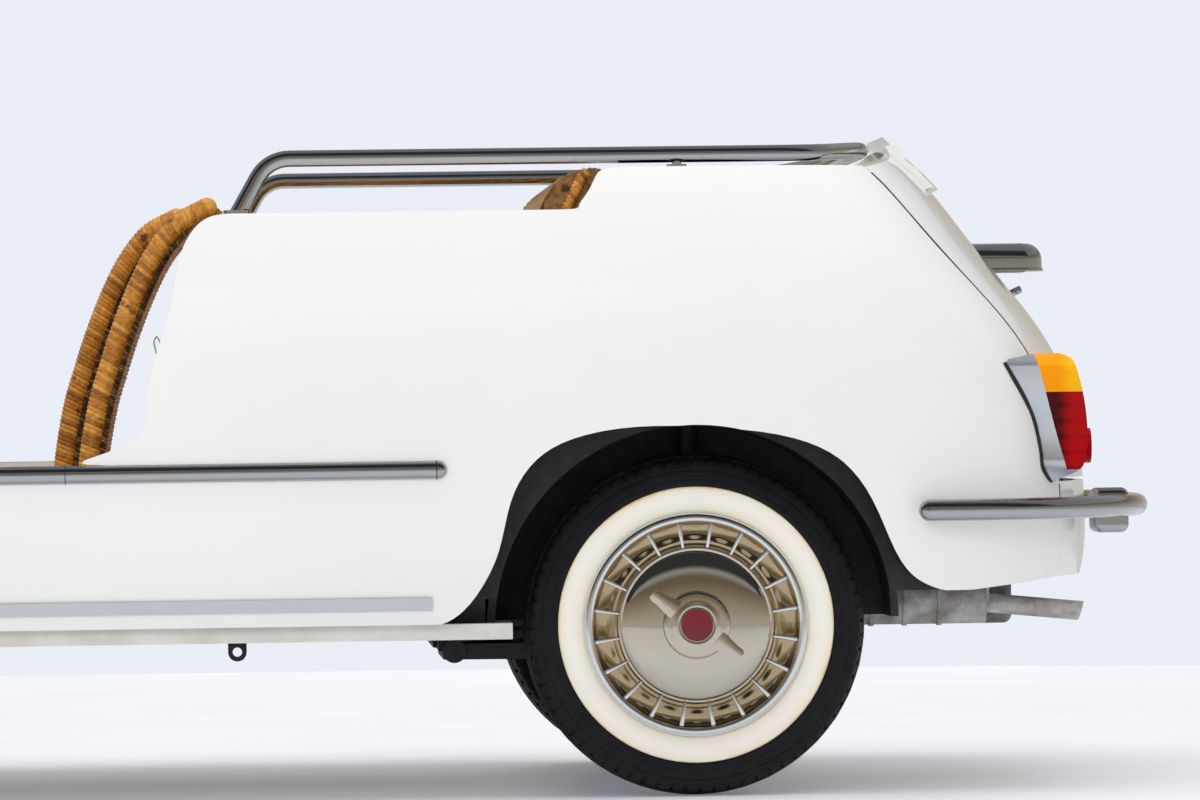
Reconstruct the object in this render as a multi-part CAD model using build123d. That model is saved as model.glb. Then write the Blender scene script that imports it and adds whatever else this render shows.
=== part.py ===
"""An open beach car with a rear engine: wicker seats, no doors, no roof, and a chromed hand rail.

Frame: +X forward, +Y to the car's left, +Z up, origin on the ground under the middle of the car.
Units are millimetres. Each node of the car is written to parts/NODE.step.
"""
import os
from math import cos, pi, radians, sin

from build123d import *

# ---------------------------------------------------------------- driving dimensions
WHEELBASE = 2000.0
REAR_AXLE_X = -915.0
FRONT_AXLE_X = REAR_AXLE_X + WHEELBASE

TYRE_R = 258.0
TYRE_W = 132.0
BEAD_R = 150.0
WHEEL_Y = 577.0
HUB_Z = TYRE_R
STUB_R = 20.0
STUB_PLAY = 0.05
KINGPIN_Y = 525.0

SILL_TOP = 509.0
SILL_BOTTOM = 264.0
FLOOR_Z = 240.0
QUARTER_TOP = 884.0
DECK_Z = 948.0
RAIL_Z = 967.0
RAIL_R = 12.5
RAIL_RISE = 10.0
BUMPER_R = 16.5
BUMPER_Z = 425.0
SHUT_GAP = 5.0
WALL = 70.0
SKIN = 18.0
SHEET = 12.0

FENDER_SEAM_X = 700.0
COWL_FRONT_X = 750.0
COWL_REAR_X = 630.0
COWL_HALF = 470.0
LID_LOW_Z = 560.0
WELL_R = 300.0
WELL_INNER_Y = 372.0
REAR_WELL_INNER_Y = 432.0
BULKHEAD_X = 770.0

HEADLAMP_Y, HEADLAMP_Z, HEADLAMP_R = 478.0, 672.0, 90.0
SEAT_Y, SEAT_HALF, ROLL_R, WEB_T = 300.0, 235.0, 16.0, 24.0
RIGHT_SEAT_SHIFT = 50.0

COLUMN_TILT = 30.0
STEERING_HUB = (370.0, 300.0, 790.0)
STEERING_R = 190.0


# Lines plan of the body: height, half width, nose at the centre line, tail at the centre line.
LINES = [
    (240, 640, 1530, -1525),
    (330, 668, 1572, -1548),
    (450, 684, 1588, -1553),
    (560, 689, 1580, -1542),
    (657, 684, 1555, -1511),
    (764, 664, 1512, -1438),
    (870, 628, 1452, -1356),
    (960, 580, 1390, -1278),
    (1010, 548, 1350, -1232),
]
TAIL_POWERS = (14.0, 2.5)
NOSE_POWERS = (13.0, 2.3)
NOSE_TAPER = 0.035
ANGLES = (15, 30, 45, 58, 70, 79, 85, 88.5)

# Upper form of the front: station, crown height of the wings, height of the lid at the centre line.
FRONT_STATIONS = [
    (560, 890, 902),
    (750, 880, 890),
    (950, 866, 866),
    (1150, 846, 826),
    (1320, 822, 768),
    (1450, 792, 702),
    (1540, 752, 620),
    (1620, 690, 500),
]

# Wheel arch, from the side: distance from the axle towards the sill, and height.
ARCH = [
    (420, 262), (362, 274), (322, 318), (296, 372), (274, 455), (232, 514), (160, 546), (64, 557),
    (-48, 552), (-144, 537), (-216, 504), (-258, 455), (-290, 386), (-326, 328), (-368, 306), (-420, 304),
]

HALF_LENGTH = 1650.0
SADDLE_X, SADDLE_Y = 1566.0, 400.0
HEADLAMP_X = 1464.0
INDICATOR = (1510.0, 515.0, 540.0)
REFLECTOR = (-1538.0, 330.0, 517.0)
# Height at which the amber part of the tail lamp meets the red part.
AMBER_Z = 600.0
SHAFT_R, SHAFT_PLAY = 10.0, 0.05
KINGPIN_R = 11.0
# Eyes under the floor: X, Y, Z of the hole, its radius, thickness of the plate.
EYES = [(-227, 600, 226, 7, 8), (-227, -600, 226, 7, 8), (780, 0, 216, 12, 12)]
SILENCER_Y = 200.0
TAILPIPE_START, TAILPIPE_END = (-1385.0, 200.0, 274.5), (-1570.0, 200.0, 256.0)
TAILPIPE_R = 15.0
CAP_R = 168.0
FINS = 20

SCREEN_BASE_X = 704.0
SCREEN_RAKE = 0.62
SCREEN_TOP = 1228.0
SCREEN_FRAME = 26.0
# The scuttle under the screen: height at the sides and in the middle at X = 664, and its fall towards the nose.
SCUTTLE_EDGE, SCUTTLE_MIDDLE, SCUTTLE_FALL = 879.0, 909.0, 0.163

WAIST_Z = 496.0
WAIST_R = 14.0
SILL_STRIP_Z = 295.0

# Half width of the tail opening, and height.
TAIL_EDGE = [(493, 300), (514, 475), (524, 640), (534, 764), (526, 870), (504, 950), (490, 1010)]
TAIL_BOTTOM = 320.0
LID_BOTTOM = 470.0
# Height of the lid's upper edge at its sides and in the middle.
LID_CREST = (938.0, 982.0)
# The intake stands proud of the lid behind this line in X and Z, whose lower half runs inside the lid's skin.
INTAKE_PROUD = 14.0
INTAKE_LINE = [(-1308.0, 918.0), (-1283.0, 948.0), (-1268.0, 960.0), (-1246.0, 1003.0)]
INTAKE_HALF = 330.0
FUSE_TOLERANCE = 0.01
LID_GAP = 6.0
NOSE_HALF = 300.0

# Side roll of a seat back: distance behind the seat's hinge line, and height.
BACK_ROLL = [(0, 420), (-7, 514), (-22, 599), (-38, 653), (-58, 713), (-83, 775), (-111, 829), (-146, 872), (-190, 896)]


# ---------------------------------------------------------------- shared helpers
def station(z, half_width, nose, tail, inset):
    """Closed level line of the body at one height: two superellipse ends joined at X = 0."""
    w = half_width - inset
    halves = []
    for end, (p, q) in ((tail + inset, TAIL_POWERS), (nose - inset, NOSE_POWERS)):
        half = [(end, 0.0)]
        for a in ANGLES:
            x = end * cos(radians(a)) ** (2 / p)
            y = w * sin(radians(a)) ** (2 / q)
            if x > 0:
                y *= 1 - NOSE_TAPER * (x / nose) ** 2
            half.append((x, y))
        halves.append(half)
    rear, front = halves
    left = rear + [(0.0, w)] + front[::-1]
    right = [(x, -y) for x, y in left[-2:0:-1]]
    return make_face(Spline(*[(x, y, z) for x, y in left + right], periodic=True))


def hull(inset=0.0):
    """The closed body form, drawn in by inset."""
    return loft([station(*row, inset) for row in LINES])


def top_form(drop=0.0):
    """Everything below the front lid and the crowned wings, lowered by drop."""
    lid, wing = [], []
    for x, crown, centre in FRONT_STATIONS:
        plane = Plane.YZ.offset(x)
        c, w = centre - drop, crown - drop
        arc = ThreePointArc((-760, c - 42), (0, c), (760, c - 42))
        rest = Polyline((760, c - 42), (760, 0), (-760, 0), (-760, c - 42))
        lid.append(plane * make_face([arc, rest]))
        arc = ThreePointArc((330, w - 70), (510, w), (690, w - 70))
        rest = Polyline((690, w - 70), (690, 0), (330, 0), (330, w - 70))
        wing.append(plane * make_face([arc, rest]))
    wing = loft(wing)
    return loft(lid) + wing + mirrored(wing)


def side_prism(face, low, high):
    """A side-view outline, drawn in X and Z, carried across the car from Y = low to Y = high."""
    return extrude(Plane.XZ.offset(-low) * face, amount=high - low, dir=(0, 1, 0))


def plan_prism(face, low, high):
    """A plan outline carried up from Z = low to Z = high."""
    return extrude(Plane.XY.offset(low) * face, amount=high - low, dir=(0, 0, 1))


def front_prism(face, low, high):
    """A front-view outline, drawn in Y and Z, carried along the car from X = low to X = high."""
    return extrude(Plane.YZ.offset(low) * face, amount=high - low, dir=(1, 0, 0))


def block(x0, x1, y0, y1, z0, z1):
    """A box by its limits."""
    return Pos((x0 + x1) / 2, (y0 + y1) / 2, (z0 + z1) / 2) * Box(x1 - x0, y1 - y0, z1 - z0)


def rod(start, end, radius):
    """A round bar between two points."""
    start, end = Vector(*start), Vector(*end)
    plane = Plane(origin=start, z_dir=end - start)
    return extrude(plane * Circle(radius), amount=(end - start).length)


def cross_rod(x, z, radius, low, high):
    """A round bar across the car."""
    return rod((x, low, z), (x, high, z), radius)


def tube_along(path, radius):
    """A round bar swept along a wire."""
    return sweep((path ^ 0) * Circle(radius), path=path)


def mirrored(shape):
    """The right-hand copy of a left-hand shape."""
    return mirror(shape, Plane.XZ)


def whole(shape):
    """A shape that crosses the centre line, from its left half."""
    return shape + mirrored(shape)


def both(shape):
    """A left-hand shape with its right-hand twin, as separate solids."""
    return [*shape.solids(), *mirrored(shape).solids()]


def write(name, shapes):
    """Writes one node from one or more solids."""
    solids = shapes if isinstance(shapes, list) else shapes.solids()
    export_step(Compound(children=solids) if len(solids) > 1 else solids[0], f"parts/{name}.step")


def cut_arch(panel, axle_x, way):
    """A panel with its wheel arch cut, keeping an inner flange round the inner wheel arch.

    way is 1 where the sill lies forward of the wheel.
    """
    points = [(axle_x + way * x, z) for x, z in ARCH]
    first, last = points[0], points[-1]
    outline = make_face([Spline(*points), Polyline(last, (last[0], 120), (first[0], 120), first)])
    panel -= side_prism(outline, 400, 800) - hull(WALL - SHEET)
    return panel - cross_rod(axle_x, HUB_Z, WELL_R, 0, 800)


# ---------------------------------------------------------------- body
def tail_opening(grow=0.0):
    """The opening between the two body sides at the tail, closed by the engine lid and the valance."""
    edge = [(y + grow, z) for y, z in TAIL_EDGE]
    left = Spline(*edge)
    right = Spline(*[(-y, z) for y, z in edge])
    low, high = edge[0], edge[-1]
    return front_prism(make_face([left, Line((-low[0], low[1]), low), right, Line((-high[0], high[1]), high)]),
                       -1700, -900)


def lid_plan(grow=0.0):
    """Plan outline of the front lid, from the scuttle to the nose."""
    x0, y0, x1, y1 = COWL_FRONT_X + LID_GAP - grow, 430 + grow, 1480, NOSE_HALF + grow
    return make_face(Polyline((x0, y0), (x1, y1), (1700, y1), (1700, -y1), (x1, -y1), (x0, -y0), (x0, y0)))


def body_side(rear_shell, front_shell):
    """Left body side in one piece: front pillar, sill and rear quarter, with its wheel arch."""
    seam = FENDER_SEAM_X
    outline = make_face([
        Polyline((-420, QUARTER_TOP), (-226, QUARTER_TOP)),
        Spline((-226, QUARTER_TOP), (-184, 874), (-160, 846), (-136, 750), (-98, 608), (-66, 540), (-10, 511),
               (40, SILL_TOP), tangents=((1, 0), (1, 0))),
        Line((40, SILL_TOP), (500, SILL_TOP)),
        Spline((500, SILL_TOP), (560, 518), (604, 560), (632, 660), (640, 780), (COWL_REAR_X, 960),
               tangents=((1, 0), (-0.1, 1))),
        Polyline((COWL_REAR_X, 960), (seam, 960), (seam, SILL_BOTTOM), (-600, SILL_BOTTOM), (-600, 300),
                 (-1335, 304), (-1480, TAIL_BOTTOM), (-1700, TAIL_BOTTOM), (-1700, DECK_Z), (-812, DECK_Z)),
        Spline((-812, DECK_Z), (-780, 940), (-766, 915), (-750, 892), (-716, QUARTER_TOP),
               tangents=((1, 0), (1, 0))),
        Line((-716, QUARTER_TOP), (-420, QUARTER_TOP)),
    ])
    zone = side_prism(outline, 0, 800)
    side = (rear_shell & zone) + (front_shell & block(560, seam, COWL_HALF, 800, SILL_BOTTOM, 960) & zone)
    return cut_arch(side, REAR_AXLE_X, 1) - tail_opening(SHUT_GAP)


def front_fender(front_shell):
    """Left front wing with its crown, wheel arch and headlamp hole."""
    fender = front_shell & block(FENDER_SEAM_X + 2, 1700, 0, 800, SILL_BOTTOM, 960)
    fender = cut_arch(fender, FRONT_AXLE_X, -1)
    fender -= plan_prism(lid_plan(LID_GAP), LID_LOW_Z, 1000)
    fender -= block(1300, 1700, -NOSE_HALF, NOSE_HALF, 0, LID_LOW_Z)
    fender -= plan_prism(make_face(Polyline((700, 0), (1380, 0), (1380, 560), (700, 560), (700, 0))), 0, 560)
    fender -= block(600, COWL_FRONT_X, 0, COWL_HALF, 700, 1000)
    lamp = [(x, HEADLAMP_Y, HEADLAMP_Z) for x in (1330, HEADLAMP_X, 1700)]
    fender += rod(lamp[0], lamp[1], HEADLAMP_R + 6)
    return fender - rod(lamp[1], lamp[2], HEADLAMP_R + 6) - rod(lamp[0], lamp[2], HEADLAMP_R - 8)


def engine_lid(tail_skin):
    """Rear lid over the engine, with a raised air intake along its top."""
    side, middle = LID_CREST
    crest = make_face([ThreePointArc((-560, side), (0, middle), (560, side)),
                       Polyline((560, side), (560, LID_BOTTOM), (-560, LID_BOTTOM), (-560, side))])
    lid = tail_skin & tail_opening() & front_prism(crest, -1700, -1100)
    low, high = INTAKE_LINE[0], INTAKE_LINE[-1]
    wedge = make_face(Polyline(high, (-1700, high[1]), (-1700, low[1]), *INTAKE_LINE))
    intake = hull(-INTAKE_PROUD) & side_prism(wedge, 0, INTAKE_HALF)
    return whole(lid.fuse(intake, tol=FUSE_TOLERANCE))


def rear_valance(tail_skin):
    """Fixed panel below the engine lid."""
    return whole(tail_skin & tail_opening(SHUT_GAP) & block(-1700, -1200, 0, 600, TAIL_BOTTOM, LID_BOTTOM - 6))


def cowl_panel(front_shell):
    """Scuttle between the front lid and the dashboard; the windscreen stands on it."""
    return whole(front_shell & block(COWL_REAR_X, COWL_FRONT_X, 0, COWL_HALF, 700, 960))


def front_lid(front_shell):
    """Luggage lid over the nose, hinged at the scuttle."""
    return whole(front_shell & plan_prism(lid_plan(), LID_LOW_Z + 5, 1000) & block(600, 1700, 0, 800, 0, 1000))


def nose_panel(front_shell):
    """Fixed panel below the front lid."""
    return whole(front_shell & block(1300, 1700, 0, NOSE_HALF, SILL_BOTTOM + 30, LID_LOW_Z))


def front_bulkhead(cavity):
    """Firewall behind the front wheels with its toe board, and the floor of the luggage bay."""
    t = SHEET
    x = BULKHEAD_X
    toe = make_face(Polyline((900, 264), (x, 560), (x, 900), (x - t, 900), (x - t, 556), (886, 264), (900, 264)))
    wide = block(x - t, x, -640, 640, 264, 900)
    bay = block(820, 1520, -WELL_INNER_Y + t, WELL_INNER_Y - t, 400, 400 + t)
    wide -= block(700, 800, -WELL_INNER_Y + t, WELL_INNER_Y - t, 200, 560)
    return (wide + side_prism(toe, -WELL_INNER_Y + t, WELL_INNER_Y - t) + bay) & cavity


def floor_pan():
    """Pressed floor with the centre tunnel and the toe box between the front wheels."""
    pan = block(-640, 758, -632, 632, FLOOR_Z, SILL_BOTTOM)
    pan += block(758, 900, -WELL_INNER_Y + SHEET, WELL_INNER_Y - SHEET, FLOOR_Z, SILL_BOTTOM)
    tunnel = make_face([ThreePointArc((-70, 310), (0, 345), (70, 310)),
                        Polyline((70, 310), (90, SILL_BOTTOM), (-90, SILL_BOTTOM), (-70, 310))])
    pan += front_prism(tunnel, -268, 700)
    for x, y, z, r, t in EYES:
        pan += block(x - 2 * r, x + 2 * r, y - t / 2, y + t / 2, z, FLOOR_Z) + cross_rod(x, z, 2 * r, y - t / 2, y + t / 2)
        pan -= cross_rod(x, z, r, y - t / 2, y + t / 2)
    return pan


def rear_bulkhead(cavity):
    """Sloping wall behind the rear seat, from the floor to the deck."""
    t = 16
    top = DECK_Z - SKIN
    wall = make_face(Polyline((-640, 264), (-694, 476), (-806, top), (-806 - t, top), (-694 - t, 480),
                              (-640 - t, 264), (-640, 264)))
    wall = side_prism(wall, -640, 640) & cavity
    for way in (1, -1):
        low, high = sorted((way * (REAR_WELL_INNER_Y - SHEET), way * 700))
        wall -= cross_rod(REAR_AXLE_X, HUB_Z, WELL_R + SHEET, low, high)
    return wall


def rear_deck(side):
    """Level panel between the rear seat and the engine lid, under the hand rail."""
    deck = block(-1300, -806, 0, 640, DECK_Z - SKIN, DECK_Z) & hull(SHEET + 8)
    return whole(deck - side)


def wheel_house(axle_x, inner_y, cavity):
    """Inner wheel arch: a half drum over the wheel with its inner wall."""
    t = SHEET
    drum = cross_rod(axle_x, HUB_Z, WELL_R + t, inner_y - t, 640) - cross_rod(axle_x, HUB_Z, WELL_R, inner_y, 640)
    drum &= block(axle_x - 400, axle_x + 400, 0, 700, SILL_BOTTOM, 700)
    drum -= block(axle_x - 130, axle_x + 130, 0, inner_y + 10, 0, 430)
    return drum & cavity


def body_parts(outer, top, cavity):
    """All panels of the body, by node name."""
    inner, top_low = hull(WALL), top_form(SKIN)
    rear_shell = (outer - inner) & block(-1700, 560, 0, 800, 200, 1100)
    front_half = block(540, 1700, 0, 800, 100, 1100)
    front_shell = (outer & front_half & top) - (inner & block(400, 1800, -1, 900, 0, 1200) & top_low)
    tail_skin = (outer & block(-1700, -900, 0, 800, 200, 1100)) - hull(SHEET)
    side = body_side(rear_shell, front_shell)
    fender = front_fender(front_shell)
    front = wheel_house(FRONT_AXLE_X, WELL_INNER_Y, cavity)
    rear = wheel_house(REAR_AXLE_X, REAR_WELL_INNER_Y, cavity)
    return {
        "body_side_left": side,
        "body_side_right": mirrored(side),
        "front_fender_left": fender,
        "front_fender_right": mirrored(fender),
        "nose_panel": nose_panel(front_shell),
        "front_lid": front_lid(front_shell),
        "cowl_panel": cowl_panel(front_shell),
        "engine_lid": engine_lid(tail_skin),
        "rear_valance": rear_valance(tail_skin),
        "front_bulkhead": front_bulkhead(cavity),
        "floor_pan": floor_pan(),
        "rear_bulkhead": rear_bulkhead(cavity),
        "rear_deck": rear_deck(side),
        "inner_wheel_arches": both(front) + both(rear),
    }


# ---------------------------------------------------------------- windscreen and dashboard
def screen_sheet(thickness, rear=0.0):
    """The windscreen's curved, raked sheet, bowed forward at the middle."""
    x = SCREEN_BASE_X - rear
    outer = [(x - 34, 640), (x, 0), (x - 34, -640)]
    inner = [(a - thickness, b) for a, b in reversed(outer)]
    face = make_face([ThreePointArc(*outer), Line(outer[2], inner[0]), ThreePointArc(*inner), Line(inner[2], outer[0])])
    rake = Vector(-SCREEN_RAKE, 0, 1)
    return extrude(Plane.XY.offset(840) * face, amount=400 * rake.length, dir=rake)


def screen_outline(margin):
    """Front outline of the windscreen, drawn in by margin; its lower edge is crowned like the scuttle."""
    base, brow, foot, high = 552 - margin, 492 - margin, 882 + margin, SCREEN_TOP - margin
    arc = ThreePointArc((-base, foot), (0, SCUTTLE_MIDDLE + margin), (base, foot))
    face = make_face([arc, Polyline((base, foot), (brow, high), (-brow, high), (-base, foot))])
    return fillet(face.vertices().group_by(Axis.Y)[-1], 64 - margin)


def scuttle_form():
    """Smooth form a hair above the scuttle, to cut the foot of the windscreen's surround."""
    edge, middle, half = SCUTTLE_EDGE + 64 * SCUTTLE_FALL, SCUTTLE_MIDDLE + 64 * SCUTTLE_FALL, 640
    face = make_face([ThreePointArc((-half, edge), (0, middle), (half, edge)),
                      Polyline((half, edge), (half, 700), (-half, 700), (-half, edge))])
    return extrude(Plane.YZ.offset(600) * face, amount=140, dir=(1, 0, -SCUTTLE_FALL))


def windshield_frame():
    """Windscreen surround, with its foot cut to the scuttle."""
    below = block(300, 800, -552, 552, 860, 900)
    ring = front_prism(screen_outline(0), 300, 800) + below - front_prism(screen_outline(SCREEN_FRAME), 300, 800)
    return (screen_sheet(24) & ring) - scuttle_form()


def windshield_glass():
    """Laminated windscreen, seated in the middle of its surround."""
    return screen_sheet(6, 9) & front_prism(screen_outline(SCREEN_FRAME), 300, 800)


def dashboard(cavity):
    """Painted steel fascia with a rolled lower edge and one round instrument housing."""
    profile = make_face([
        Spline((COWL_REAR_X, 884), (606, 880), (584, 856), (576, 812)),
        Line((576, 812), (576, 740)),
        Spline((576, 740), (580, 716), (598, 706), (618, 716)),
        Polyline((618, 716), (610, 728)),
        Spline((610, 728), (598, 724), (590, 744)),
        Line((590, 744), (590, 812)),
        Spline((590, 812), (598, 846), (612, 860), (COWL_REAR_X, 864)),
        Line((COWL_REAR_X, 864), (COWL_REAR_X, 884)),
    ])
    fascia = side_prism(profile, -620, 620) & cavity
    hub = STEERING_HUB[1]
    dial = rod((584, hub, 790), (548, hub, 790), 74) - rod((556, hub, 790), (548, hub, 790), 66)
    return fascia + dial


# ---------------------------------------------------------------- bright trim
def hull_point(x, z, way, grow=0.0):
    """A point on the body's side at X and Z, moved out by grow."""
    low, high = next((a, b) for a, b in zip(LINES, LINES[1:]) if a[0] <= z <= b[0])
    t = (z - low[0]) / (high[0] - low[0])
    w, nose, tail = (a + t * (b - a) for a, b in zip(low[1:], high[1:]))
    p, q = NOSE_POWERS if x > 0 else TAIL_POWERS
    end = nose if x > 0 else tail
    y = w * (1 - abs(x / end) ** p) ** (1 / q)
    if x > 0:
        y *= 1 - NOSE_TAPER * (x / nose) ** 2
    return (x, way * (y + grow), z)


def waist_moulding(outer):
    """Half-round strip along the left side, with a rounded tip."""
    rear, front = (hull_point(x, WAIST_Z, 1) for x in (-530, 690))
    return (rod(rear, front, WAIST_R) - outer) + (Pos(*rear) * Sphere(WAIST_R) - outer)


def sill_moulding(outer):
    """Flat strip along the bottom of the left sill."""
    low, high = (hull_point(0, SILL_STRIP_Z + step, 1)[1] + 7 for step in (-9.5, 9.5))
    z0, z1 = SILL_STRIP_Z - 9.5, SILL_STRIP_Z + 9.5
    return front_prism(make_face(Polyline((620, z0), (low, z0), (high, z1), (620, z1), (620, z0))), -519, 690) - outer


def hand_rail():
    """Chromed rail from the left quarter, round behind the rear seat, to the right quarter, with its feet."""
    left = [(-236, 575, QUARTER_TOP), (-283, 568, RAIL_Z), (-1105, 551, RAIL_Z), (-1200, 330, RAIL_Z + RAIL_RISE)]
    points = left + [(x, -y, z) for x, y, z in reversed(left)]
    path = FilletPolyline(*points, radius=[55, 110, 260, 260, 110, 55])
    rail = tube_along(path, RAIL_R) - block(-300, -180, -640, 640, QUARTER_TOP - 40, QUARTER_TOP)
    for way in (1, -1):
        rail += Pos(-236, way * 575, QUARTER_TOP + 3) * Cylinder(21, 6)
        rail += rod((-900, way * 555, DECK_Z), (-900, way * 555, RAIL_Z), 7)
        rail += Pos(-900, way * 555, DECK_Z + 2) * Cylinder(15, 4)
    return rail


def bumper(outer, way, end, shoulder):
    """One bumper: a round bar with rounded ends, two saddles that clasp it, and their arms to the body."""
    middle = (way * (HALF_LENGTH - BUMPER_R), 0, BUMPER_Z)
    start, corner = (way * end[0], end[1], BUMPER_Z), (way * shoulder[0], shoulder[1], BUMPER_Z)
    path = Spline(start, corner, middle, tangents=((way, -0.02), (0, -1)))
    bar = sweep((path ^ 0) * Circle(BUMPER_R), path=path) + Pos(*start) * Sphere(BUMPER_R)
    x = way * SADDLE_X
    saddle = Pos(x, SADDLE_Y, BUMPER_Z - 7) * Rot(0, 0, -10 * way) * fillet(Box(56, 44, 69).edges(), 12) - hull(-3)
    arm = block(*sorted((x, x - way * 160)), SADDLE_Y - 15, SADDLE_Y + 15, BUMPER_Z - 14, BUMPER_Z - 4) - outer
    arm = arm.solids().sort_by(Axis.X)[-1 if way > 0 else 0]
    return whole(bar + saddle + arm)


# ---------------------------------------------------------------- lamps
def headlamp():
    """Left headlamp: rim with its bowl, and lens."""
    r = HEADLAMP_R
    place = Plane(origin=(HEADLAMP_X, HEADLAMP_Y, HEADLAMP_Z), z_dir=(1, 0, 0))
    rim = make_face([
        Polyline((r - 9, -70), (r - 9, 0), (r + 2, 2)),
        ThreePointArc((r + 2, 2), (r + 1, 14), (r - 10, 20)),
        Polyline((r - 10, 20), (r - 14, 12), (r - 14, -64), (0, -96), (0, -104), (r - 9, -70)),
    ])
    rise = 22
    dome = ((r - 14) ** 2 + rise ** 2) / (2 * rise)
    lens = Pos(0, 0, 12 + rise - dome) * Sphere(dome) & Pos(0, 0, 8 + 30) * Cylinder(r - 14, 60)
    return place * revolve(Plane.XZ * rim, Axis.Z), place * lens


def front_indicator(outer):
    """Small round lamp under the left headlamp."""
    x, y, z = INDICATOR
    return rod((x - 60, y, z), (x, y, z), 26) + Pos(x, y, z) * scale(Sphere(26), (0.45, 1, 1)) - outer


def tail_lamp(outer):
    """Left tail lamp on the corner of the body: sheet housing, amber upper lens, red lower lens."""
    side = make_face([
        Spline((-1494, 648), (-1507, 605), (-1516, 553), (-1517, 525), (-1510, 488)),
        Spline((-1510, 488), (-1500, 479), (-1484, 472), (-1466, 463)),
        Spline((-1466, 463), (-1451, 489), (-1444, 535), (-1424, 591), (-1388, 650)),
        Spline((-1388, 650), (-1430, 657), (-1480, 657), (-1494, 648)),
    ])
    end = make_face([
        Spline((534, 640), (545, 654), (582, 654), (596, 640)),
        Spline((596, 640), (591, 610), (575, 565), (566, 500)),
        Spline((566, 500), (556, 472), (543, 463), (530, 474), (523, 500)),
        Spline((523, 500), (527, 570), (534, 640)),
    ])
    pod = (side_prism(side, 500, 620) & front_prism(end, -1600, -1300)) - outer
    split = make_face(Polyline((-1424, 700), (-1485, 482), (-1700, 482), (-1700, 700), (-1424, 700)))
    zone = side_prism(split, 500, 640)
    lens = pod & zone
    return pod - zone, lens & block(-1700, -1300, 500, 640, AMBER_Z, 700), \
        lens & block(-1700, -1300, 500, 640, 400, AMBER_Z)


def rear_reflector():
    """Round red reflector on the left of the engine lid."""
    x, y, z = REFLECTOR
    return (rod((x - 8, y, z), (x + 30, y, z), 27)) - hull(0)


def plate_lamp():
    """Chromed hood in the middle of the engine lid that lights the number plate."""
    profile = make_face([
        Spline((-1380, 836), (-1440, 836), (-1492, 826), (-1509, 802), (-1496, 792)),
        Polyline((-1496, 792), (-1400, 792), (-1380, 836)),
    ])
    plan = make_face([ThreePointArc((-1400, -56), (-1509, 0), (-1400, 56)),
                      Polyline((-1400, 56), (-1360, 56), (-1360, -56), (-1400, -56))])
    return (side_prism(profile, -60, 60) & plan_prism(plan, 700, 900)) - hull()


# ---------------------------------------------------------------- seats
def front_seat(y, shift):
    """Wicker bucket seat: bound side rolls, woven back, cushion and base."""
    half = SEAT_HALF - ROLL_R
    front = Spline(*BACK_ROLL)
    back = [(x - WEB_T, z - WEB_T / 3) for x, z in reversed(BACK_ROLL)]
    web = make_face([front, Line(BACK_ROLL[-1], back[0]), Spline(*back), Line(back[-1], BACK_ROLL[0])])
    seat = side_prism(web, -half, half)
    roll = Spline(*[(x, half, z) for x, z in BACK_ROLL])
    roll = sweep((roll ^ 0) * Circle(ROLL_R), path=roll)
    x, z = BACK_ROLL[-1]
    seat += roll + mirrored(roll) + cross_rod(x, z, ROLL_R, -half, half)
    seat += Pos(x, half, z) * Sphere(ROLL_R) + Pos(x, -half, z) * Sphere(ROLL_R)
    cushion = fillet(block(-34, 420, -SEAT_HALF, SEAT_HALF, 372, 452).edges().filter_by(Axis.Y), 30)
    seat += cushion + block(10, 392, -SEAT_HALF + 25, SEAT_HALF - 25, SILL_BOTTOM, 380)
    return Pos(shift, y, 0) * seat


def rear_seat():
    """Wicker bench with a leaning back whose top rolls over towards the deck."""
    back = make_face([
        Spline((-588, 470), (-630, 640), (-672, 810), (-695, 893), (-727, 936), (-780, 954)),
        Spline((-780, 954), (-800, 940), (-786, 918), (-742, 868), (-690, 660), (-652, 470)),
        Line((-652, 470), (-588, 470)),
    ])
    seat = side_prism(back, -600, 600) & hull(WALL + 5)
    cushion = block(-632, -240, -600, 600, 396, 486) & hull(WALL + 5)
    seat += fillet(cushion.edges().filter_by(Axis.Y), 30)
    return seat + block(-600, -270, -560, 560, SILL_BOTTOM, 400)


# ---------------------------------------------------------------- controls
def steering_plane():
    """Work plane of the steering wheel: its Z axis points up the column at the driver."""
    t = radians(COLUMN_TILT)
    return Plane(origin=STEERING_HUB, x_dir=(0, 1, 0), z_dir=(-cos(t), 0, sin(t)))


def steering_wheel():
    """Rim, three spokes, boss and the shaft that turns in the column."""
    wheel = Torus(STEERING_R, 9.5)
    for turn in (90, 210, 330):
        wheel += Rot(0, 0, turn) * Pos(STEERING_R / 2, 0, -4) * Box(STEERING_R - 8, 16, 5)
    wheel += Pos(0, 0, -12) * Cylinder(30, 34)
    wheel += Pos(0, 0, 5) * scale(Sphere(29), (1, 1, 0.35))
    wheel += Pos(0, 0, -29 - 35) * Cylinder(SHAFT_R, 70)
    return steering_plane() * wheel


def steering_column():
    """Fixed jacket of the column with its bracket under the dashboard."""
    length = 560
    jacket = Pos(0, 0, -34 - length / 2) * Cylinder(20, length)
    jacket -= Pos(0, 0, -34 - 36) * Cylinder(SHAFT_R + SHAFT_PLAY, 74)
    jacket = steering_plane() * jacket - block(758, 1200, 0, 600, 0, 900)
    y = STEERING_HUB[1]
    return jacket + (block(592, 610, y - 16, y + 16, 640, 705.8) - steering_plane() * Cylinder(18, 1200))


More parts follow.
